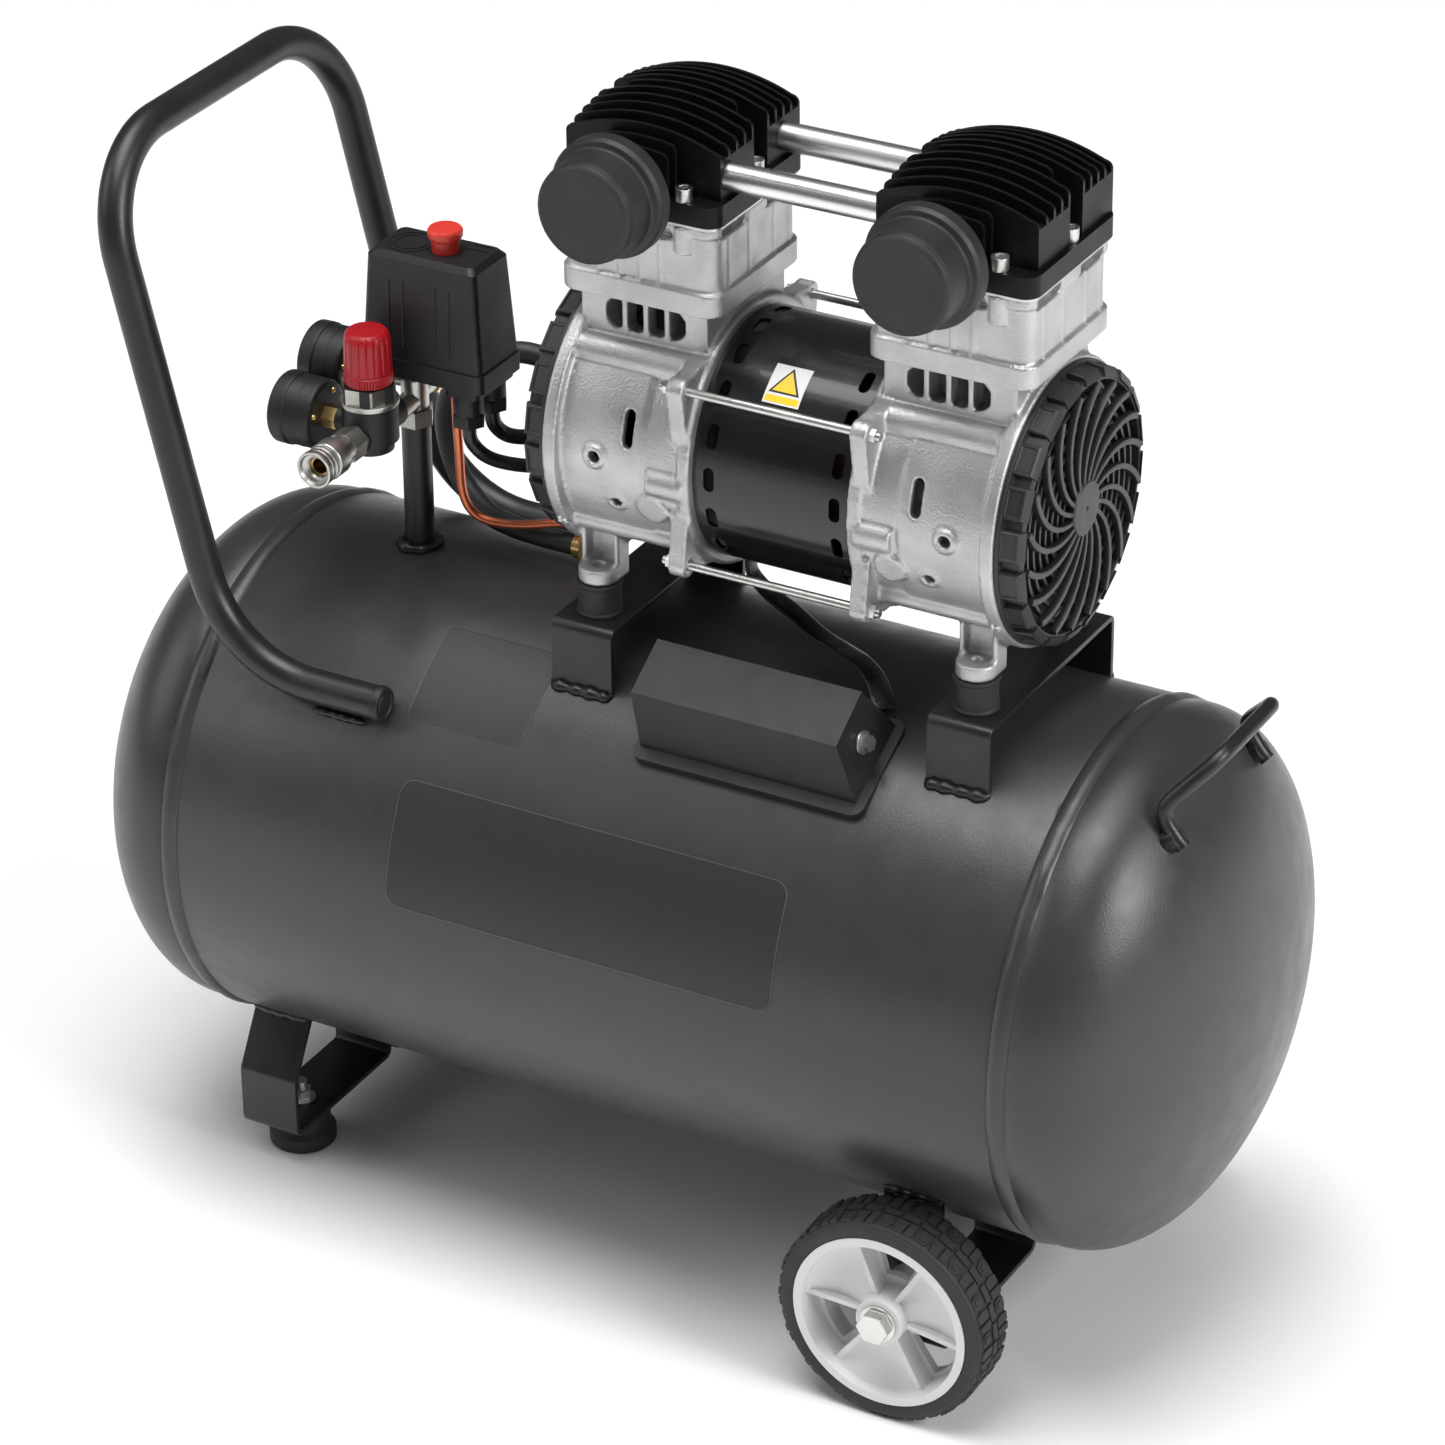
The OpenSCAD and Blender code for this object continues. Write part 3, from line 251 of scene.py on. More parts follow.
def cast_node(node, voxel, passes):
    """Stands for a cast CAD node: remeshed and relaxed, so that every edge and corner is soft."""
    piece = mesh_piece(node + "_cast", welded_copy(node), BODY_OF[node], SLOT_OF[node], [node])
    remesh = piece.modifiers.new("skin", "REMESH")
    remesh.mode = "VOXEL"
    remesh.voxel_size = voxel * MM
    smooth = piece.modifiers.new("soften", "SMOOTH")
    smooth.factor = 0.5
    smooth.iterations = passes
    baked(piece)
    shade(piece.data, 180)
    return piece


# ------------------------------------------------ shape helpers, in millimetres
def mesh_of(name, points, faces):
    mesh = bpy.data.meshes.new(name)
    mesh.from_pydata([Vector(p) * MM for p in points], [], faces)
    mesh.validate()
    mesh.update()
    return mesh


def joined(name, parts, degrees=35):
    """One mesh out of several (points, faces) pairs, with its normals outward."""
    points, faces = [], []
    for some_points, some_faces in parts:
        start = len(points)
        points += [Vector(p) for p in some_points]
        faces += [[i + start for i in face] for face in some_faces]
    mesh = mesh_of(name, points, faces)
    work = bmesh.new()
    work.from_mesh(mesh)
    bmesh.ops.recalc_face_normals(work, faces=work.faces)
    work.to_mesh(mesh)
    work.free()
    shade(mesh, degrees)
    return mesh


def chassis_piece(name, parts, slot, standing_for=(), degrees=35):
    """Joins (points, faces) pairs into one piece on the fixed body."""
    return mesh_piece(name, joined(name, parts, degrees), "chassis", slot, standing_for)


def soften(outline, radius, steps=4):
    """The outline with each inner corner turned into an arc of up to that radius."""
    soft = [outline[0]]
    for before, corner, after in zip(outline, outline[1:], outline[2:]):
        corner = Vector(corner)
        back, ahead = Vector(before) - corner, Vector(after) - corner
        turn = math.pi - back.angle(ahead, 0)
        wanted = radius * math.tan(turn / 2) if turn < 3 else radius
        reach = min(wanted, back.length * 0.45, ahead.length * 0.45)
        if turn < 0.05 or reach < 0.01:
            soft.append(tuple(corner))
            continue
        start, end = corner + back.normalized() * reach, corner + ahead.normalized() * reach
        for i in range(steps + 1):
            t = i / steps
            soft.append(tuple(start * (1 - t) ** 2 + corner * 2 * t * (1 - t) + end * t ** 2))
    return soft + [outline[-1]]


def facing(place, direction):
    """The matrix that puts local +Z along a direction at a place."""
    aim = Vector((0, 0, 1)).rotation_difference(Vector(direction)).to_matrix().to_4x4()
    return Matrix.Translation(Vector(place)) @ aim


def moved(part, matrix):
    return [matrix @ Vector(p) for p in part[0]], part[1]


def turned(outline, steps=96):
    """A solid turned about Z from (radius, height) points.

    The outline ends where it starts, or starts and ends on the axis."""
    points, faces, rows = [], [], []
    closed = math.dist(outline[0], outline[-1]) < 1e-6 and outline[0][0] > 0
    for r, h in outline[:-1] if closed else outline:
        if r < 1e-6:
            rows.append([len(points)])
            points.append(Vector((0, 0, h)))
        else:
            rows.append([len(points) + i for i in range(steps)])
            angles = [TAU * i / steps for i in range(steps)]
            points += [Vector((r * math.cos(a), r * math.sin(a), h)) for a in angles]
    if closed:
        rows.append(rows[0])
    for low, high in zip(rows, rows[1:]):
        for i in range(steps):
            j = (i + 1) % steps
            ring = [low[i % len(low)], low[j % len(low)], high[j % len(high)], high[i % len(high)]]
            face = [v for k, v in enumerate(ring) if v not in ring[:k]]
            if len(face) > 2:
                faces.append(face)
    return points, faces


def prism(outline, low, high):
    """A straight solid on a flat outline of (x, y) points."""
    count = len(outline)
    points = [Vector((x, y, low)) for x, y in outline] + [Vector((x, y, high)) for x, y in outline]
    sides = [[i, (i + 1) % count, count + (i + 1) % count, count + i] for i in range(count)]
    return points, [list(range(count))[::-1], [count + i for i in range(count)]] + sides


def brick(low, high):
    (a, b, c), (d, e, f) = low, high
    return prism([(a, b), (d, b), (d, e), (a, e)], c, f)


def polygon_ring(sides, across, turn=0.0):
    """Corners of a regular polygon with that distance across its flats."""
    r = across / 2 / math.cos(math.pi / sides)
    angles = [turn + TAU * i / sides for i in range(sides)]
    return [(r * math.cos(a), r * math.sin(a)) for a in angles]


def smooth_route(route, steps):
    """The route's points with a spline through them."""
    points = [Vector(p) for p in route]
    fine = []
    for i in range(len(points) - 1):
        a, b, c, d = points[max(i - 1, 0)], points[i], points[i + 1], points[min(i + 2, len(points) - 1)]
        for k in range(steps):
            t = k / steps
            fine.append(0.5 * (2 * b + (c - a) * t + (2 * a - 5 * b + 4 * c - d) * t * t
                               + (3 * b - a - 3 * c + d) * t ** 3))
    return fine + [points[-1]]


def swept(path, section, up=(0, 1, 0)):
    """A solid along a path. section(i, share) gives the (u, v) points of its cross-section there."""
    normal = Vector(up)
    points, faces = [], []
    last = len(path) - 1
    for i, p in enumerate(path):
        ahead = (path[min(i + 1, last)] - path[max(i - 1, 0)]).normalized()
        normal = (normal - normal.dot(ahead) * ahead).normalized()
        side = ahead.cross(normal)
        ring = section(i, i / last)
        points += [p + u * normal + v * side for u, v in ring]
    count = len(ring)
    for i in range(last):
        for k in range(count):
            n = (k + 1) % count
            faces.append([i * count + k, i * count + n, (i + 1) * count + n, (i + 1) * count + k])
    return points, faces + [list(range(count))[::-1], [last * count + k for k in range(count)]]


def round_section(radius, flat=None, sides=24):
    """A circle, or an ellipse whose other radius is flat."""
    other = radius if flat is None else flat
    ring = [(radius * math.cos(TAU * k / sides), other * math.sin(TAU * k / sides)) for k in range(sides)]
    return lambda i, share: ring


def weld_path(path, width, seed):
    """A lumpy weld bead along a path."""
    length = sum((b - a).length for a, b in zip(path, path[1:]))
    sides = 10

    def section(i, share):
        along = share * length / width
        lump = 1 + 0.16 * math.sin(along * 4.3 + seed) + 0.12 * math.sin(along * 1.7 + 2 * seed + 1)
        r = width / 2 * lump * min(1, 0.35 + 6 * min(share, 1 - share))
        return [(r * math.cos(TAU * k / sides), r * math.sin(TAU * k / sides)) for k in range(sides)]

    return swept(path, section, up=(0.3, 0.5, 0.8))


def line_points(corners, pitch):
    """Points every pitch millimetres along a line of corners."""
    points = []
    for a, b in zip(corners, corners[1:]):
        a, b = Vector(a), Vector(b)
        count = max(1, round((b - a).length / pitch))
        points += [a.lerp(b, i / count) for i in range(count)]
    return points + [Vector(corners[-1])]


# ------------------------------------------------ sizes that the pieces share, in millimetres
TANK_R, TANK_Z, SEAM_X, COLLAR, DOME = 155, 224, 263, 12.5, 77.5
PUMP_X, PUMP_Z, CYL_HALF = 83, 502, 93
MOUNT_HALF, MOUNT_Y, BRACKET_Y, BRACKET_TOP = 116, 54.5, 76, 399.5
DRUM_END, COVER_END = 136, 152
STRAP_T, STRAP_W = 3.5, 38
FOOT_X, WHEEL_X, WHEEL_Y, WHEEL_Z = -236.5, 197, 143, 64
RAIL_END, RAIL_Y, RAIL_Z = 141, 117, 343
LIFT_X, LIFT_Y, LIFT_Z = 313, 53.5, 347
RISER_X, REGULATOR_X, REGULATOR_Y, MOTOR_R = -184, -187, -42, 70
TANK_AXIS = Vector((0, 0, TANK_Z))


def tank_height(y):
    return TANK_Z + math.sqrt(TANK_R * TANK_R - y * y)


def on_tank(x, angle, r=TANK_R):
    """A point on the barrel; angle from the top, towards the front."""
    return Vector((x, -r * math.sin(angle), TANK_Z + r * math.cos(angle)))


# ------------------------------------------------ tank
def tank_outline():
    end = SEAM_X + COLLAR
    angles = [math.pi / 2 * i / 48 for i in range(49)]
    dome = [(TANK_R * math.sin(a), end + DOME * math.cos(a)) for a in angles]
    seam = []
    for i in range(17):
        s = -1 + i / 8
        bump = 1.7 * math.cos(s * math.pi / 2) ** 0.8 if abs(s) < 1 else 0
        seam.append((TANK_R + bump, SEAM_X - 5 * s))
    half = dome + [(TANK_R, SEAM_X + 7), (TANK_R - 0.5, SEAM_X + 5.6)] + seam
    half += [(TANK_R - 0.5, SEAM_X - 5.6), (TANK_R, SEAM_X - 7), (TANK_R, SEAM_X / 2)]
    return [(r, -h) for r, h in half] + [(TANK_R, 0)] + half[::-1]


def make_tank():
    points, faces = turned(tank_outline(), 224)
    for p in points:
        reach = math.hypot(p.x, p.y)
        if abs(abs(p.z) - SEAM_X) < 5.2 and reach > TANK_R:
            ripple = noise.noise(Vector((p.x * 0.09, p.y * 0.09, p.z * 0.02)))
            p.xy = p.xy * ((reach + 0.45 * ripple) / reach)
    shell = moved((points, faces), facing(TANK_AXIS, (1, 0, 0)))
    bung = turned(soften([(0, 16), (12, 16), (12, 0), (6.2, 0), (6.2, 8), (0, 8)], 0.6), 48)
    parts = [shell, moved(bung, Matrix.Translation((0, 0, 61)))]
    chassis_piece("tank", parts, "tank_paint", ["tank_shell", "tank_heads"], 50)


def bead(name, corners, width, seed):
    """A weld bead along a line of corners."""
    path = line_points(corners, 1.5)
    chassis_piece(name, [weld_path(path, width, seed)], "bracket_paint", degrees=60)


def make_welds():
    for side, mark in ((-1, "left"), (1, "right")):
        x = PUMP_X + side * MOUNT_HALF
        for front, where in ((-1, "front"), (1, "rear")):
            y = front * (BRACKET_Y + 1.2)
            z = tank_height(y) + 0.6
            ends = [(x - 19, y - front * 2, z + 1.4), (x - 17, y, z), (x + 17, y, z),
                    (x + 19, y - front * 2, z + 1.4)]
            bead(f"{mark}_{where}_bracket_weld", ends, 6.5, side + 2 * front)
    ring = [(RISER_X + 11 * math.cos(a), 11 * math.sin(a), tank_height(11 * math.sin(a)) + 1.2)
            for a in (TAU * i / 40 for i in range(41))]
    bead("riser_weld", ring, 6.5, 0.4)
    for front, where in ((-1, "front"), (1, "rear")):
        for turn, place in ((0.715, "upper"), (0.845, "lower")):
            line = [on_tank(x, -front * turn, TANK_R + 1.6) for x in (-184, -150)]
            bead(f"{where}_{place}_rail_weld", line, 4.5, turn + front)
        for x, end, y in ((FOOT_X, "foot", 89.5), (WHEEL_X, "wheel", 119.6)):
            z = TANK_Z - math.sqrt(TANK_R ** 2 - y ** 2) - 0.4
            line = [(x - 18, front * y, z), (x + 18, front * y, z)]
            bead(f"{where}_{end}_bracket_weld", line, 6, x + front)
            z = TANK_Z - TANK_R - 0.6
            line = [(x - 18, front * 6.8, z), (x + 18, front * 6.8, z)]
            bead(f"{where}_{end}_inner_weld", line, 5, x - front)
        place = Vector((LIFT_X, front * LIFT_Y, LIFT_Z))
        ring = [place + Vector((0.77, 0, 0.64)) * t + Vector((-5.5, front * 5.5 * s, -4.5)) for t, s in
                ((-8, -0.6), (-4, -1), (0, -1), (4, -1), (8, -0.6))]
        bead(f"{where}_lift_weld", ring, 4, front)


def label_patch(name, x_low, x_high, angle_low, angle_high, corner):
    """A thin rounded panel that lies on the barrel, with a fine printed border."""
    rows = 40
    corner_angle = corner / TANK_R

    def limits(angle):
        inner = min(angle - angle_low, angle_high - angle)
        short = corner * (1 - math.sqrt(max(0, 1 - (1 - min(1, inner / corner_angle)) ** 2)))
        return x_low + short, x_high - short

    angles = []
    for i in range(rows + 1):
        t = i / rows
        angles.append(angle_low + (angle_high - angle_low) * (3 * t * t - 2 * t ** 3))
    points, faces = [], []
    for lift in (0.22, -0.15):
        for angle in angles:
            low, high = limits(angle)
            points += [on_tank(low, angle, TANK_R + lift), on_tank(high, angle, TANK_R + lift)]
    back = 2 * (rows + 1)
    for i in range(rows):
        a = 2 * i
        faces += [[a, a + 1, a + 3, a + 2], [back + a, back + a + 2, back + a + 3, back + a + 1]]
        faces += [[a, a + 2, back + a + 2, back + a], [a + 1, back + a + 1, back + a + 3, a + 3]]
    faces += [[0, back, back + 1, 1], [back - 2, back - 1, 2 * back - 1, 2 * back - 2]]
    chassis_piece(name, [(points, faces)], "label_panel", degrees=30)
    border = [on_tank(limits(a)[0], a, TANK_R + 0.24) for a in angles]
    border += [on_tank(limits(a)[1], a, TANK_R + 0.24) for a in angles[::-1]]
    border.append(border[0])
    line = swept(border, round_section(0.3, sides=6), up=(0.1, -0.7, 0.7))
    chassis_piece(name + "_border", [line], "label_line", degrees=60)


def make_labels():
    label_patch("front_panel", -117, 127, math.radians(57), math.radians(84.3), 9)
    label_patch("rating_panel", -127, -54, math.radians(22.5), math.radians(44.8), 4)


# ------------------------------------------------ handles
def tow_route():
    """The tow handle's centre line: rail, low bend, leaning leg, top bend, then their mirror image."""
    lean = math.radians(13.6)
    cross_x, cross_z = 310, 637
    low_bend, top_bend, steps = 70, 60, 20
    turn = math.pi / 2 - lean
    bend_x = cross_x - (cross_z - RAIL_Z) * math.tan(lean) - low_bend * math.tan(turn / 2)
    half = [Vector((-RAIL_END, RAIL_Y, RAIL_Z))]
    for i in range(steps + 1):
        a = turn * i / steps
        rise = low_bend * (1 - math.cos(a))
        half.append(Vector((-bend_x - low_bend * math.sin(a), RAIL_Y, RAIL_Z + rise)))
    for i in range(steps + 1):
        a = math.pi / 2 * i / steps
        drop = top_bend * (math.sin(a) - 1)
        half.append(Vector((-cross_x - drop * math.sin(lean), RAIL_Y - top_bend * (1 - math.cos(a)),
                            cross_z + drop * math.cos(lean))))
    return half + [Vector((p.x, -p.y, p.z)) for p in half[::-1]]


def make_tow_handle():
    parts = [swept(tow_route(), round_section(9.75, sides=40))]
    stub = prism(round_section(5, sides=20)(0, 0), -17, -2)
    for front in (-1, 1):
        for x in (-150, -176):
            parts.append(moved(stub, facing((x, front * RAIL_Y, RAIL_Z), (0, front, 1))))
    chassis_piece("tow_tube", parts, "bracket_paint", ["tow_handle"], 40)
    cap = turned(soften([(0, -12), (7.9, -12), (7.9, 0), (10.35, 0), (10.35, 3.2), (9.4, 5), (7.6, 5),
                         (7.2, 4.2), (5.6, 4.2), (5.2, 4.7), (0, 4.7)], 0.5), 48)
    caps = [moved(cap, facing((-RAIL_END, front * RAIL_Y, RAIL_Z), (1, 0, 0))) for front in (-1, 1)]
    chassis_piece("tow_caps", caps, "black_plastic", ["handle_end_caps"])


def make_lift_handle():
    half = [(322, LIFT_Y, 346), (318, LIFT_Y, 350), (311, LIFT_Y, 360), (311, 52, 368), (320, 45, 379),
            (328, 38, 388), (332, 31, 393), (333, 20, 394), (333, 0, 394)]
    route = half + [(x, -y, z) for x, y, z in half[-2::-1]]
    parts = [swept(smooth_route(route, 8), round_section(4.5, sides=24))]
    for front in (-1, 1):
        stub = turned(soften([(0, -8), (6.3, -8), (6.3, 8), (0, 8)], 0.8), 32)
        parts.append(moved(stub, facing((LIFT_X, front * LIFT_Y, LIFT_Z), (0.766, 0, 0.643))))
    chassis_piece("lift_rod", parts, "bracket_paint", ["lift_handle"], 50)


# ------------------------------------------------ straps and mounts
def rounded_box(half_width, half_height, edge, steps):
    """A rectangle with rounded corners as a cross-section."""
    w, h = half_width, half_height
    return soften([(w, 0), (w, h), (-w, h), (-w, -h), (w, -h), (w, 0)], edge, steps)[:-1]


def bent_strap(corners, radius, x, front=1):
    """A flat strap bent along (y, z) corners; front is -1 for its mirror image."""
    path = [Vector((x, front * y, z)) for y, z in soften(corners, radius, 6)]
    ring = rounded_box(STRAP_W / 2, STRAP_T / 2, 0.6, 3)
    return swept(path, lambda i, share: ring, up=(1, 0, 0))


def make_straps():
    mid = STRAP_T / 2
    y, top = BRACKET_Y - mid, BRACKET_TOP - mid
    foot = tank_height(y) - 1
    corners = [(-y, foot), (-y, top), (y, top), (y, foot)]
    parts = [bent_strap(corners, 4.5, PUMP_X + s * MOUNT_HALF) for s in (-1, 1)]
    chassis_piece("pump_straps", parts, "bracket_paint", ["pump_brackets"], 30)
    low = 24 + mid
    for name, x, corners in (
        ("foot", FOOT_X, [(3.75, 70), (3.75, low), (105.25, low), (105.25, 62), (86, 95.5)]),
        ("wheel", WHEEL_X, [(3.75, 70), (3.75, low), (116.25, low), (116.25, 125)]),
    ):
        parts = [bent_strap(corners, 5, x, front) for front in (-1, 1)]
        chassis_piece(name + "_straps", parts, "bracket_paint", [name + "_brackets"], 30)


def make_rubbers():
    high = 419 - BRACKET_TOP
    post = turned(soften([(0, 0), (13, 0), (13, 1.6), (12.2, 2.6), (11.9, high / 2), (12.2, high - 2.6),
                          (13, high - 1.6), (13, high), (0, high)], 0.6), 56)
    posts = [moved(post, Matrix.Translation((PUMP_X + s * MOUNT_HALF, y, BRACKET_TOP)))
             for s in (-1, 1) for y in (-MOUNT_Y, MOUNT_Y)]
    chassis_piece("mount_rubbers", posts, "rubber_black", ["rubber_mounts"], 50)
    pad = turned(soften([(0, 6), (7.5, 6), (7.5, 0), (18.5, 0), (20, 1.6), (20, 9), (17, 12), (17, 22.6),
                         (15.5, 24), (0, 24)], 1.0), 64)
    pads = [moved(pad, Matrix.Translation((FOOT_X, y, 0))) for y in (-73, 73)]
    chassis_piece("foot_pads", pads, "rubber_black", ["rubber_feet"], 50)


# ------------------------------------------------ wheels
def on_tyre(angle, across, radius):
    return Vector((radius * math.cos(angle), radius * math.sin(angle), across))


def tread_block(outline, angle, low, high, pitch):
    """A raised block: outline in (share of the pitch, millimetres across), wrapped round the tyre."""
    inner = [on_tyre(angle + u * pitch, v, low) for u, v in outline]
    count, taper = len(outline), 0.93
    mid_u, mid_v = sum(u for u, v in outline) / count, sum(v for u, v in outline) / count
    top = [(mid_u + (u - mid_u) * taper, mid_v + (v - mid_v) * taper) for u, v in outline]
    outer = [on_tyre(angle + u * pitch, v, high) for u, v in top]
    faces = [list(range(count))[::-1], [count + i for i in range(count)]]
    faces += [[i, (i + 1) % count, count + (i + 1) % count, count + i] for i in range(count)]
    return inner + outer, faces


def make_tyre(side, name):
    half = 17
    sidewall = [(52.6, half - 1), (54, half - 0.3), (58, half), (59.6, half - 0.2), (60.2, half - 0.9),
                (61.6, half - 1.4), (62.2, half - 3.2), (62.4, half - 6)]
    outline = [(r, -h) for r, h in sidewall] + sidewall[::-1] + [(52.6, 0), (52.6, 1 - half)]
    parts = [turned(soften(outline, 0.6), 144)]
    count, root = 17, 61.5
    pitch = TAU / count
    hexagon = [(0.03, 9.4), (0.10, 4.4), (0.34, 4.4), (0.42, 9.4), (0.35, 14), (0.10, 14)]
    boss = [(0.12, 9.4), (0.16, 6.4), (0.29, 6.4), (0.33, 9.4), (0.29, 12.2), (0.16, 12.2)]
    bar = [(0.47, 3.4), (0.66, 3.4), (0.66, 14.4), (0.47, 14.4)]
    angled = [(0.71, 3.4), (0.93, 3.4), (0.98, 9), (0.93, 14.4), (0.71, 14.4)]
    strip = [(0.02, -2.4), (0.46, -2.4), (0.46, 2.4), (0.02, 2.4)]
    for i in range(count):
        for outline, top in ((hexagon, 63.4), (boss, 63.95), (bar, 63.9), (angled, 63.7)):
            parts.append(tread_block(outline, i * pitch, root, top, pitch))
            mirrored = [(u + 0.5, -v) for u, v in outline][::-1]
            parts.append(tread_block(mirrored, i * pitch, root, top, pitch))
        parts.append(tread_block(strip, i * pitch, root, 63.8, pitch))
        parts.append(tread_block([(u + 0.5, v) for u, v in strip], i * pitch, root, 63.8, pitch))
    place = facing((WHEEL_X, side * WHEEL_Y, WHEEL_Z), (0, side, 0))
    mesh_piece(name + "_tread", joined(name + "_tread", [moved(p, place) for p in parts], 30), name,
               "tyre_rubber", [name + "_tyre"])


# ------------------------------------------------ fan covers and filters
def fan_cover_parts():
    """One cover, its axis along Z, from the crankcase's flange at 0."""
    depth, count = COVER_END - DRUM_END, 20
    pitch = TAU / count
    rim = [(69.2, 0), (78, 0), (78, 2.4), (73, 3), (73, depth - 3), (69.2, depth - 2), (69.2, 0)]
    hub = [(0, depth - 4.4), (15.6, depth - 4.4), (15.6, depth - 0.2), (14.8, depth + 0.6),
           (1.4, depth + 0.6), (1.0, depth - 0.4), (0, depth - 0.4)]
    parts = [turned(soften(rim, 0.5), 120), turned(soften(hub, 0.4), 56)]
    low, high = depth - 7, depth - 3.6
    for r in range(20, 66, 7):
        band = [(r - 1.1, low), (r + 1.1, low), (r + 1.1, high), (r - 1.1, high), (r - 1.1, low)]
        parts.append(turned(soften(band, 0.3, 2), 96))
    bow, rib_end = 46, 71.5
    for i in range(count):
        arc = [Vector((bow - bow * math.cos(a), bow * math.sin(a), depth - 1.9)) for a in
               (0.18 + 1.48 * k / 18 for k in range(19))]
        reach = [p for p in arc if math.hypot(p.x, p.y) < rib_end]
        rib = swept(reach, lambda k, share: rounded_box(1.15 + 0.75 * share, 1.9, 0.5, 2))
        parts.append(moved(rib, Matrix.Rotation(i * pitch, 4, "Z")))
        tip = math.atan2(reach[-1].y, reach[-1].x)
        parts.append(moved(castellation(depth), Matrix.Rotation(i * pitch + tip + 0.09, 4, "Z")))
    return parts


def castellation(depth):
    """A raised tile of the cover's rim, centred on +X, with a sunken panel on its outer face."""
    inner, outer, half = 70.5, 76.6, 8.6
    top = depth - 0.8

    def ring(x, y, low, high, lean):
        corners = [(x, -y, low), (x, y, low), (x - lean, y, high), (x - lean, -y, high)]
        return [Vector(p) for p in corners]

    rings = [ring(inner, half, 1, top, 0), ring(outer - 0.6, half, 1.2, top - 1.8, 1.2),
             ring(outer, half - 0.7, 2, top - 2.6, 1.0), ring(outer, half - 1.6, 3, top - 3.6, 0.9),
             ring(outer - 0.9, half - 2.2, 3.6, top - 4.2, 0.9)]
    points = [p for r in rings for p in r]
    faces = [[3, 2, 1, 0]]
    for k in range(len(rings) - 1):
        a = 4 * k
        faces += [[a + i, a + (i + 1) % 4, a + 4 + (i + 1) % 4, a + 4 + i] for i in range(4)]
    end = 4 * (len(rings) - 1)
    return points, faces + [[end, end + 1, end + 2, end + 3]]


def make_fan_covers():
    parts = []
    for side in (1, -1):
        place = facing((PUMP_X + side * DRUM_END, 0, PUMP_Z), (side, 0, 0))
        parts += [moved(p, place) for p in fan_cover_parts()]
    grilles = chassis_piece("fan_grilles", parts, "black_plastic", ["fan_covers"], 30)
    grilles.data.materials[0] = MATERIALS["grille_plastic"]
    screws, flange_r = [], 79.6
    for side in (1, -1):
        for spot in (115, 235, 355):
            a = math.radians(spot)
            out = Vector((0, math.sin(a), math.cos(a)))
            place = Vector((PUMP_X + side * (DRUM_END - 4), 0, PUMP_Z)) + flange_r * out
            screws.append(moved(pan_screw(3.4), facing(place, out)))
    chassis_piece("ring_screws", screws, "zinc")


def pan_screw(radius):
    """A small domed screw with a cross in it, its head above Z 0."""
    points, faces = turned([(0, -1), (radius, -1), (radius, 0.3), (radius * 0.92, 0.9),
                            (radius * 0.7, 1.5), (radius * 0.35, 1.8), (0, 1.85)], 28)
    for p in points:
        cross = min(abs(p.x), abs(p.y))
        if p.z > 1.2 and cross < radius * 0.16:
            p.z -= 0.9
    return points, faces


def make_filters():
    outline = [(0, 0), (17.5, 0), (17.5, 13), (19, 13.4), (31, 13.6), (33.4, 14.5), (34, 16), (34, 23),
               (32.6, 25.6), (30, 26.4), (29, 27.4), (28.4, 44), (27.6, 47.5), (25.4, 49.4), (24, 49.2),
               (0, 49.2)]
    body = turned(soften(outline, 1.2, 5), 128)
    parts = [moved(body, facing((PUMP_X + s * CYL_HALF + 1, -56, 660.5), (0, -1, 0))) for s in (-1, 1)]
    chassis_piece("filter_caps", parts, "satin_rubber", ["intake_filters"], 50)


# ------------------------------------------------ air fittings
def make_regulator_knob():
    """The regulator's knob: a tall fluted grip above a finely ribbed ring."""
    flutes = 18
    outline = [(0, 0.3), (13.4, 0.3), (13.9, 0.9), (13.9, 6), (13.2, 6.6), (13.2, 7.2), (13.6, 8),
               (13.2, 26.8), (12.2, 30), (10.6, 31.6), (0, 32)]
    points, faces = turned(soften(outline, 0.8, 4), 216)
    for p in points:
        r = math.hypot(p.x, p.y)
        if r < 11:
            continue
        a = math.atan2(p.y, p.x)
        if p.z > 7.8:
            share = min(1, (p.z - 7.8) / 1.5) * min(1, max(0, (31.2 - p.z) / 4))
            cut = 1.15 * share * max(0, math.cos(flutes * a)) ** 3
        else:
            cut = 0.5 * max(0, math.cos(3 * flutes * a)) if 1 < p.z < 6 else 0
        p.xy = p.xy * ((r - cut) / r)
    place = Matrix.Translation((REGULATOR_X, REGULATOR_Y, 498.5))
    mesh = joined("pressure_knob_fluted", [moved((points, faces), place)], 50)
    mesh_piece("pressure_knob_fluted", mesh, "pressure_knob", "red_knob", ["regulator_knob"])


def make_bonnet():
    """The nickel nut that the regulator's knob turns on."""
    place = Matrix.Translation((REGULATOR_X, REGULATOR_Y, 0))
    ring = turned(soften([(0, 485.9), (16.8, 485.9), (16.8, 488.7), (0, 488.7)], 0.5), 72)
    nut = prism(polygon_ring(6, 28.4, 0.15), 488, 498.2)
    chassis_piece("regulator_bonnet", [moved(ring, place), moved(nut, place)], "nickel")


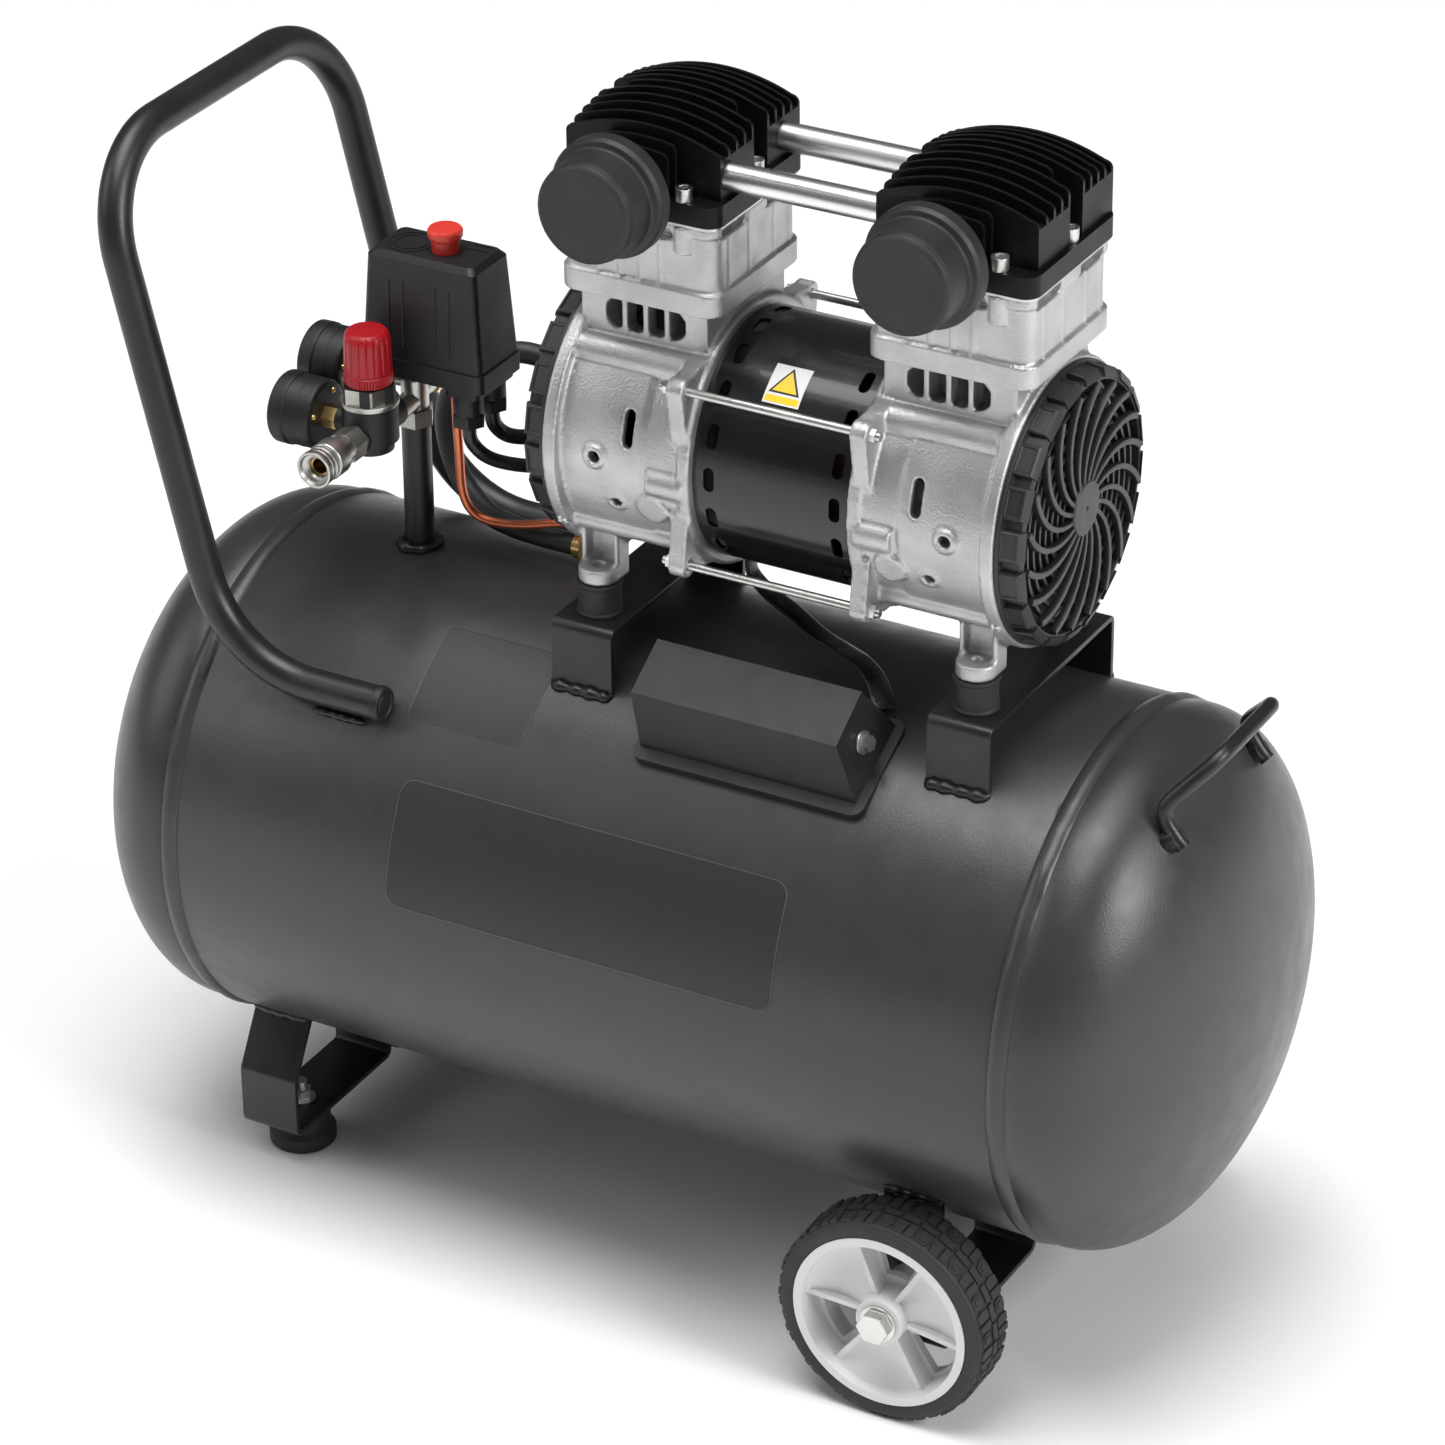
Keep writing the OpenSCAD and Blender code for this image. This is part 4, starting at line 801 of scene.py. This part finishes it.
def make_gauges():
    """Two gauges, each with its case, a dial with 41 marks, the screws in its back and its brass neck."""
    half = 13.5
    case = [(0, half), (17, half), (19.4, 12.6), (20.2, 11), (20.2, -4), (20.9, -4.4), (21, -6),
            (20.9, -12.4), (20.2, -half), (19, -half), (18.6, -12.6), (18.6, -2.5), (0, -2.5)]
    case = soften(case, 0.5, 3)
    cases, dials, marks, fittings = [], [], [], []
    for spot, neck in (((-229.5, REGULATOR_Y, 471), 9), ((-236, 0, 483), 22.5)):
        place = facing(spot, (1, 0, 0))
        cases.append(moved(turned(case, 96), place))
        groove = turned([(20.15, 3.1), (20.35, 3.3), (20.35, 3.9), (20.15, 4.1), (20.15, 3.1)], 96)
        cases.append(moved(groove, place))
        dials.append(moved(turned([(0, -2.9), (18.5, -2.9), (18.5, -2.4), (0, -2.4)], 72), place))
        for k in range(41):
            a = math.radians(225 - 270 * k / 40)
            long = 3.4 if k % 10 == 0 else (2.4 if k % 5 == 0 else 1.5)
            wide = 0.32 if k % 10 == 0 else 0.18
            tick = brick((16.6 - long, -wide, -0.12), (16.6, wide, 0))
            turn = Matrix.Rotation(math.pi - a, 4, "Z")
            marks.append(moved(tick, place @ Matrix.Translation((0, 0, -2.9)) @ turn))
        bolt = prism(polygon_ring(6, 12, 0.3), half, half + neck)
        fittings.append(moved(bolt, place))
        for a in (0.9, 2.6, 4.4):
            seat = Matrix.Translation((14.5 * math.cos(a), 14.5 * math.sin(a), 13.2))
            fittings.append(moved(pan_screw(1.7), place @ seat))
    chassis_piece("gauge_shells", cases, "black_plastic", ["gauge_cases"], 40)
    chassis_piece("gauge_dials", dials, "dial_white")
    chassis_piece("gauge_marks", marks, "ink_and_hole_shade")
    chassis_piece("gauge_brass", fittings, "brass")


def make_coupler():
    place = facing((REGULATOR_X, -58.5, 469), (0, -1, 0))
    nut = prism(polygon_ring(6, 17, 0.3), 0, 12.5)
    tube = turned(soften([(0, 0), (8.5, 0), (8.5, 38.5), (10.8, 38.7), (10.8, 42.5), (9.4, 42.5),
                          (8.6, 40.2), (6.6, 39.4), (5.4, 38), (5.4, 12), (0, 11)], 0.4, 3), 72)
    chassis_piece("coupler_tube", [moved(nut, place), moved(tube, place)], "nickel", ["coupler_body"])
    lining = turned([(5.42, 37.8), (6, 37.8), (6, 35), (5.42, 35), (5.42, 37.8)], 48)
    bush = turned([(4.6, 14), (5.36, 14), (5.36, 36), (4.6, 36), (4.6, 14)], 48)
    chassis_piece("coupler_lining", [moved(lining, place), moved(bush, place)], "brass")
    sleeve = [(8.62, 19), (10.2, 19), (10.6, 19.6), (10.6, 20.6), (11, 21.2), (11, 30), (10.6, 30.6),
              (9.9, 31), (9.9, 32.2), (10.6, 32.8), (10.6, 34), (9.9, 34.6), (9.9, 35.4), (10.6, 36),
              (10.6, 37.9), (10.2, 38.3), (8.62, 38.3), (8.62, 19)]
    points, faces = turned(soften(sleeve, 0.25, 2), 180)
    for k, p in enumerate(points):
        if 21.3 < p.z < 29.9 and math.hypot(p.x, p.y) > 10.5:
            p.xy = p.xy * (1 - 0.022 * (k % 2))
    mesh = joined("coupler_sleeve_knurled", [moved((points, faces), place)], 25)
    mesh_piece("coupler_sleeve_knurled", mesh, "quick_release", "nickel", ["coupler_sleeve"])


# ------------------------------------------------ hoses and leads
def make_hoses():
    hose = [(-10, 66, 660), (-11, 82, 656), (-16, 95, 640), (-22, 102, 612), (-32, 106, 572),
            (-50, 106, 528), (-76, 100, 488), (-104, 90, 466), (-132, 80, 470), (-160, 71, 475),
            (-188, 63, 462), (-200, 57, 433), (-188, 48, 404), (-162, 34, 391), (-138, 25, 390),
            (-118, 22.4, 390), (-105, 22, 390), (-90, 22, 390)]
    copper = [(-160, 5, 494), (-160, 5, 470), (-159, 5, 440), (-158, 5, 418), (-154, 6, 406),
              (-146, 8, 400), (-133, 10, 399), (-119, 13, 400.5), (-106, 16.5, 403), (-95, 20, 404),
              (-85.2, 21.6, 404)]
    near = [(-141, -12, 470), (-140, -11, 458), (-132, -3, 446), (-116, 14, 438), (-100, 40, 433),
            (-84, 68, 433), (-64, 90, 438), (-36, 100, 446), (0, 100, 454), (36, 95, 460), (58, 86, 470),
            (68, 77, 477), (70, 67.5, 480)]
    far = [(-141, 12, 470), (-140, 14, 458), (-134, 24, 448), (-120, 44, 444), (-104, 66, 446),
           (-84, 90, 450), (-58, 108, 458), (-26, 114, 466), (12, 114, 474), (50, 106, 482),
           (82, 92, 488), (92, 80, 490.6), (93, 70.1, 492)]
    sleeve = [(40, -14.6, 431.2), (42, -16, 423), (50, -13, 412), (64, -8, 400), (80, -10, 392),
              (98, -17, 391), (114, -26, 392), (128, -36, 390), (137, -45, 385), (141, -51, 380)]
    tube = swept(smooth_route(hose, 8), round_section(6.4, sides=28), up=(1, 0, 0))
    chassis_piece("air_hose", [tube], "braided_hose", ["delivery_hose"], 60)
    elbow = facing((PUMP_X - CYL_HALF, 48, 660), (0, 1, 0))
    collar = turned(soften([(0, 0), (7, 0), (7, 8), (7.2, 9), (7.2, 22), (6, 23), (0, 23)], 0.6), 40)
    nut = prism(polygon_ring(6, 16), 0, 8)
    clamp = turned(soften([(6.4, 22.5), (7.4, 22.5), (7.4, 27), (6.4, 27), (6.4, 22.5)], 0.3), 40)
    brass = [moved(part, elbow) for part in (collar, nut, clamp)]
    chassis_piece("hose_fitting", brass, "brass")
    pipe = swept(smooth_route(copper, 10), round_section(2.6, sides=20), up=(1, 0, 0))
    chassis_piece("copper_pipe", [pipe], "copper", ["unloader_tube"], 60)
    leads = [swept(smooth_route(near, 8), round_section(4.0, sides=20), up=(1, 0, 0)),
             swept(smooth_route(far, 8), round_section(4.4, sides=20), up=(1, 0, 0)),
             swept(smooth_route(sleeve, 8), round_section(1.7, 6.5, 24), up=(1, 0, 0))]
    chassis_piece("leads_sleeved", leads, "pvc_sleeve", ["electric_leads"], 60)


# ------------------------------------------------ motor sticker, switch details
def make_sticker():
    """A plain sticker on the motor: a yellow triangle with a black edge, and a yellow band."""

    def patch(outline, lift, name, slot):
        """An outline in (x, arc length down the front) on the motor, filled with a fine grid."""
        work = bmesh.new()
        corners = [work.verts.new((x, s, 0)) for x, s in outline]
        work.faces.new(corners)
        low, high = min(s for x, s in outline), max(s for x, s in outline)
        count = 14
        for k in range(1, count):
            cut = low + (high - low) * k / count
            whole = work.verts[:] + work.edges[:] + work.faces[:]
            bmesh.ops.bisect_plane(work, geom=whole, plane_co=(0, cut, 0), plane_no=(0, 1, 0))
        grown = bmesh.ops.extrude_face_region(work, geom=work.faces[:])
        for v in (g for g in grown["geom"] if isinstance(g, bmesh.types.BMVert)):
            v.co.z = 1
        for v in work.verts:
            x, s, up = v.co
            r = MOTOR_R + (lift if up > 0.5 else 0.0)
            a = s / MOTOR_R
            v.co = Vector((PUMP_X + x, -r * math.sin(a), PUMP_Z + r * math.cos(a))) * MM
        bmesh.ops.recalc_face_normals(work, faces=work.faces)
        mesh = bpy.data.meshes.new(name)
        work.to_mesh(mesh)
        work.free()
        shade(mesh, 30)
        mesh_piece(name, mesh, "chassis", slot)

    def triangle(centre, size):
        x, s = centre
        return [(x - size * 0.58, s + size / 3), (x + size * 0.58, s + size / 3), (x, s - size * 2 / 3)]

    def oblong(x, half, low, high):
        return [(x - half, low), (x + half, low), (x + half, high), (x - half, high)]

    x, top, half, height = -4.2, 35, 10.9, 23.6
    patch(oblong(x, half, top, top + height), 0.12, "sticker_base", "sticker_white")
    patch(oblong(x, half - 1, top + 18.8, top + 22.6), 0.2, "sticker_band", "sticker_yellow")
    patch(triangle((x, top + 12), 16), 0.2, "sticker_triangle_edge", "ink_and_hole_shade")
    patch(triangle((x, top + 12), 12.6), 0.28, "sticker_triangle", "sticker_yellow")


def make_switch_marks():
    """The switch cover's rings, bars and ribs, two small holes shown as dark discs of painted shade, and
    the capacitor box's screw.
    """
    marks, top = [], 567.5
    for r in (13.2, 9.6):
        band = turned([(r - 0.6, -0.3), (r, -0.3), (r, 0.35), (r - 0.6, 0.35), (r - 0.6, -0.3)], 72)
        marks.append(moved(band, Matrix.Translation((-182, -0.5, top))))
    for y in (7, 13):
        marks.append(brick((-150, y, top - 0.3), (-137, y + 0.5, top + 0.3)))
    for x in (-186, -177, -156, -147):
        path = [Vector((x, -21.6 + 0.0435 * (z - 506), z)) for z in range(513, 553, 3)]
        marks.append(swept(path, round_section(0.55, 0.5, 10), up=(1, 0, 0)))
    chassis_piece("switch_cover_marks", marks, "black_plastic")
    # Each small hole is a thin dark disc laid on the cover's top: painted shade where the hole's dark
    # inside would be.
    hole_shade = turned([(0, -0.3), (1.7, -0.3), (1.7, 0.1), (0, 0.1)], 24)
    hole_shades = [moved(hole_shade, Matrix.Translation((x, y, top))) for x, y in ((-171.5, 1.3), (-147, 2))]
    chassis_piece("switch_top_hole_shade", hole_shades, "ink_and_hole_shade")
    place = Matrix.Translation((83.5, 0, TANK_Z)) @ Matrix.Rotation(math.radians(29.3), 4, "X")
    place = place @ Matrix.Translation((63, 1, TANK_R + 22)) @ Matrix.Rotation(math.radians(81), 4, "Y")
    washer = turned(soften([(0, 0), (6.7, 0), (6.7, 1.6), (0, 1.6)], 0.3), 40)
    head = prism(polygon_ring(6, 8.2), 0.5, 6.2)
    chassis_piece("box_screw", [moved(washer, place), moved(head, place)], "zinc")


# ------------------------------------------------ nodes whose CAD shape is kept
# Cast nodes: the size of the new skin's cells in millimetres, and how often it is smoothed.
CAST = {"left_crankcase": (1.3, 2), "right_crankcase": (1.3, 2), "cylinder_blocks": (0.95, 1)}
# The radius of the edges of the other nodes in millimetres.
EDGES = {
    "axle_bolts": 0.5, "cable_glands": 0.8, "capacitor_box": 2.0, "check_valve": 0.6,
    "cylinder_heads": 0.5, "drain_valve": 0.5, "foot_bolts": 0.4, "front_wheel_rim": 0.9,
    "head_bolts": 0.35, "manifold": 0.5, "motor_shell": 0.4, "rear_wheel_rim": 0.9,
    "regulator_body": 0.9, "riser_pipe": 0.6, "safety_valve": 0.5, "switch_base": 1.0,
    "switch_cover": 1.6, "switch_knob": 0.7, "tie_rods": 0.25,
}
OTHER_EDGES = 0.3
# Nodes whose rounded edge strips take the lighter head_edge colour.
LIGHT_EDGE_NODES = ("cylinder_heads", "motor_shell")


def keep_shapes():
    shown_already = {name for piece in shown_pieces() for name in piece.get("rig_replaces", [])}
    for node in sorted(frame["nodes"]):
        if node in shown_already:
            continue
        if node in CAST:
            cast_node(node, *CAST[node])
        else:
            edge_look = "head_edge" if node in LIGHT_EDGE_NODES else None
            piece = rounded_node(node, EDGES.get(node, OTHER_EDGES), edge_look)
            if node == "stator_windings":
                piece.data.materials[0] = MATERIALS["winding_varnish"]


# ------------------------------------------------ stage
def stage_floor():
    work = bmesh.new()
    bmesh.ops.create_grid(work, x_segments=8, y_segments=8, size=30)
    mesh = bpy.data.meshes.new("studio_floor")
    work.to_mesh(mesh)
    work.free()
    floor = bpy.data.objects.new("studio_floor", mesh)
    bpy.context.scene.collection.objects.link(floor)
    mesh.materials.append(Surface("pale_floor", (0.95, 0.95, 0.95), 0.6).mottle(3, 0.004).material)


def area_light(name, place, target, size, power):
    light = bpy.data.lights.new(name, "AREA")
    light.shape = "RECTANGLE"
    light.size, light.size_y = size
    light.energy = power
    lamp = bpy.data.objects.new(name, light)
    lamp.location = place
    lamp.rotation_mode = "QUATERNION"
    lamp.rotation_quaternion = (Vector(target) - Vector(place)).to_track_quat("-Z", "Y")
    bpy.context.scene.collection.objects.link(lamp)


def light_stage():
    world = bpy.data.worlds.new("studio")
    world.use_nodes = True
    background = world.node_tree.nodes["Background"]
    background.inputs["Color"].default_value = (1, 1, 1, 1)
    background.inputs["Strength"].default_value = 0.1
    bpy.context.scene.world = world
    centre = (0, 0, 0.35)
    area_light("overhead", (-0.3, -0.6, 5.0), centre, (3.6, 2.8), 165)
    sky = bpy.data.lights.new("even_sky", "SUN")
    sky.energy, sky.angle = 1.0, math.radians(50)
    bpy.context.scene.collection.objects.link(bpy.data.objects.new("even_sky", sky))
    area_light("right_front", (4.8, -0.5, 2.9), centre, (2.0, 2.6), 200)
    area_light("left_front", (-4.2, -2.4, 3.2), centre, (3.2, 3.2), 65)
    bpy.context.scene.view_settings.view_transform = "Standard"


def aim_camera():
    lens, roll = 141.43, math.radians(-0.583)
    place, target = Vector((1.3820, -2.4256, 1.8672)), Vector((0.0127, 0, 0.3135))
    data = bpy.data.cameras.new("photo_view")
    data.lens, data.sensor_width = lens, 36
    data.clip_start, data.clip_end = 0.1, 100
    camera = bpy.data.objects.new("photo_view", data)
    camera.location = place
    camera.rotation_mode = "QUATERNION"
    camera.rotation_quaternion = (target - place).to_track_quat("-Z", "Y") @ Quaternion((0, 0, 1), roll)
    bpy.context.scene.collection.objects.link(camera)
    bpy.context.scene.camera = camera


make_tank()
make_welds()
make_labels()
make_tow_handle()
make_lift_handle()
make_straps()
make_rubbers()
for side, wheel in ((-1, "front_wheel"), (1, "rear_wheel")):
    make_tyre(side, wheel)
make_fan_covers()
make_filters()
make_regulator_knob()
make_bonnet()
make_gauges()
make_coupler()
make_hoses()
make_sticker()
make_switch_marks()
keep_shapes()
stage_floor()
light_stage()
aim_camera()
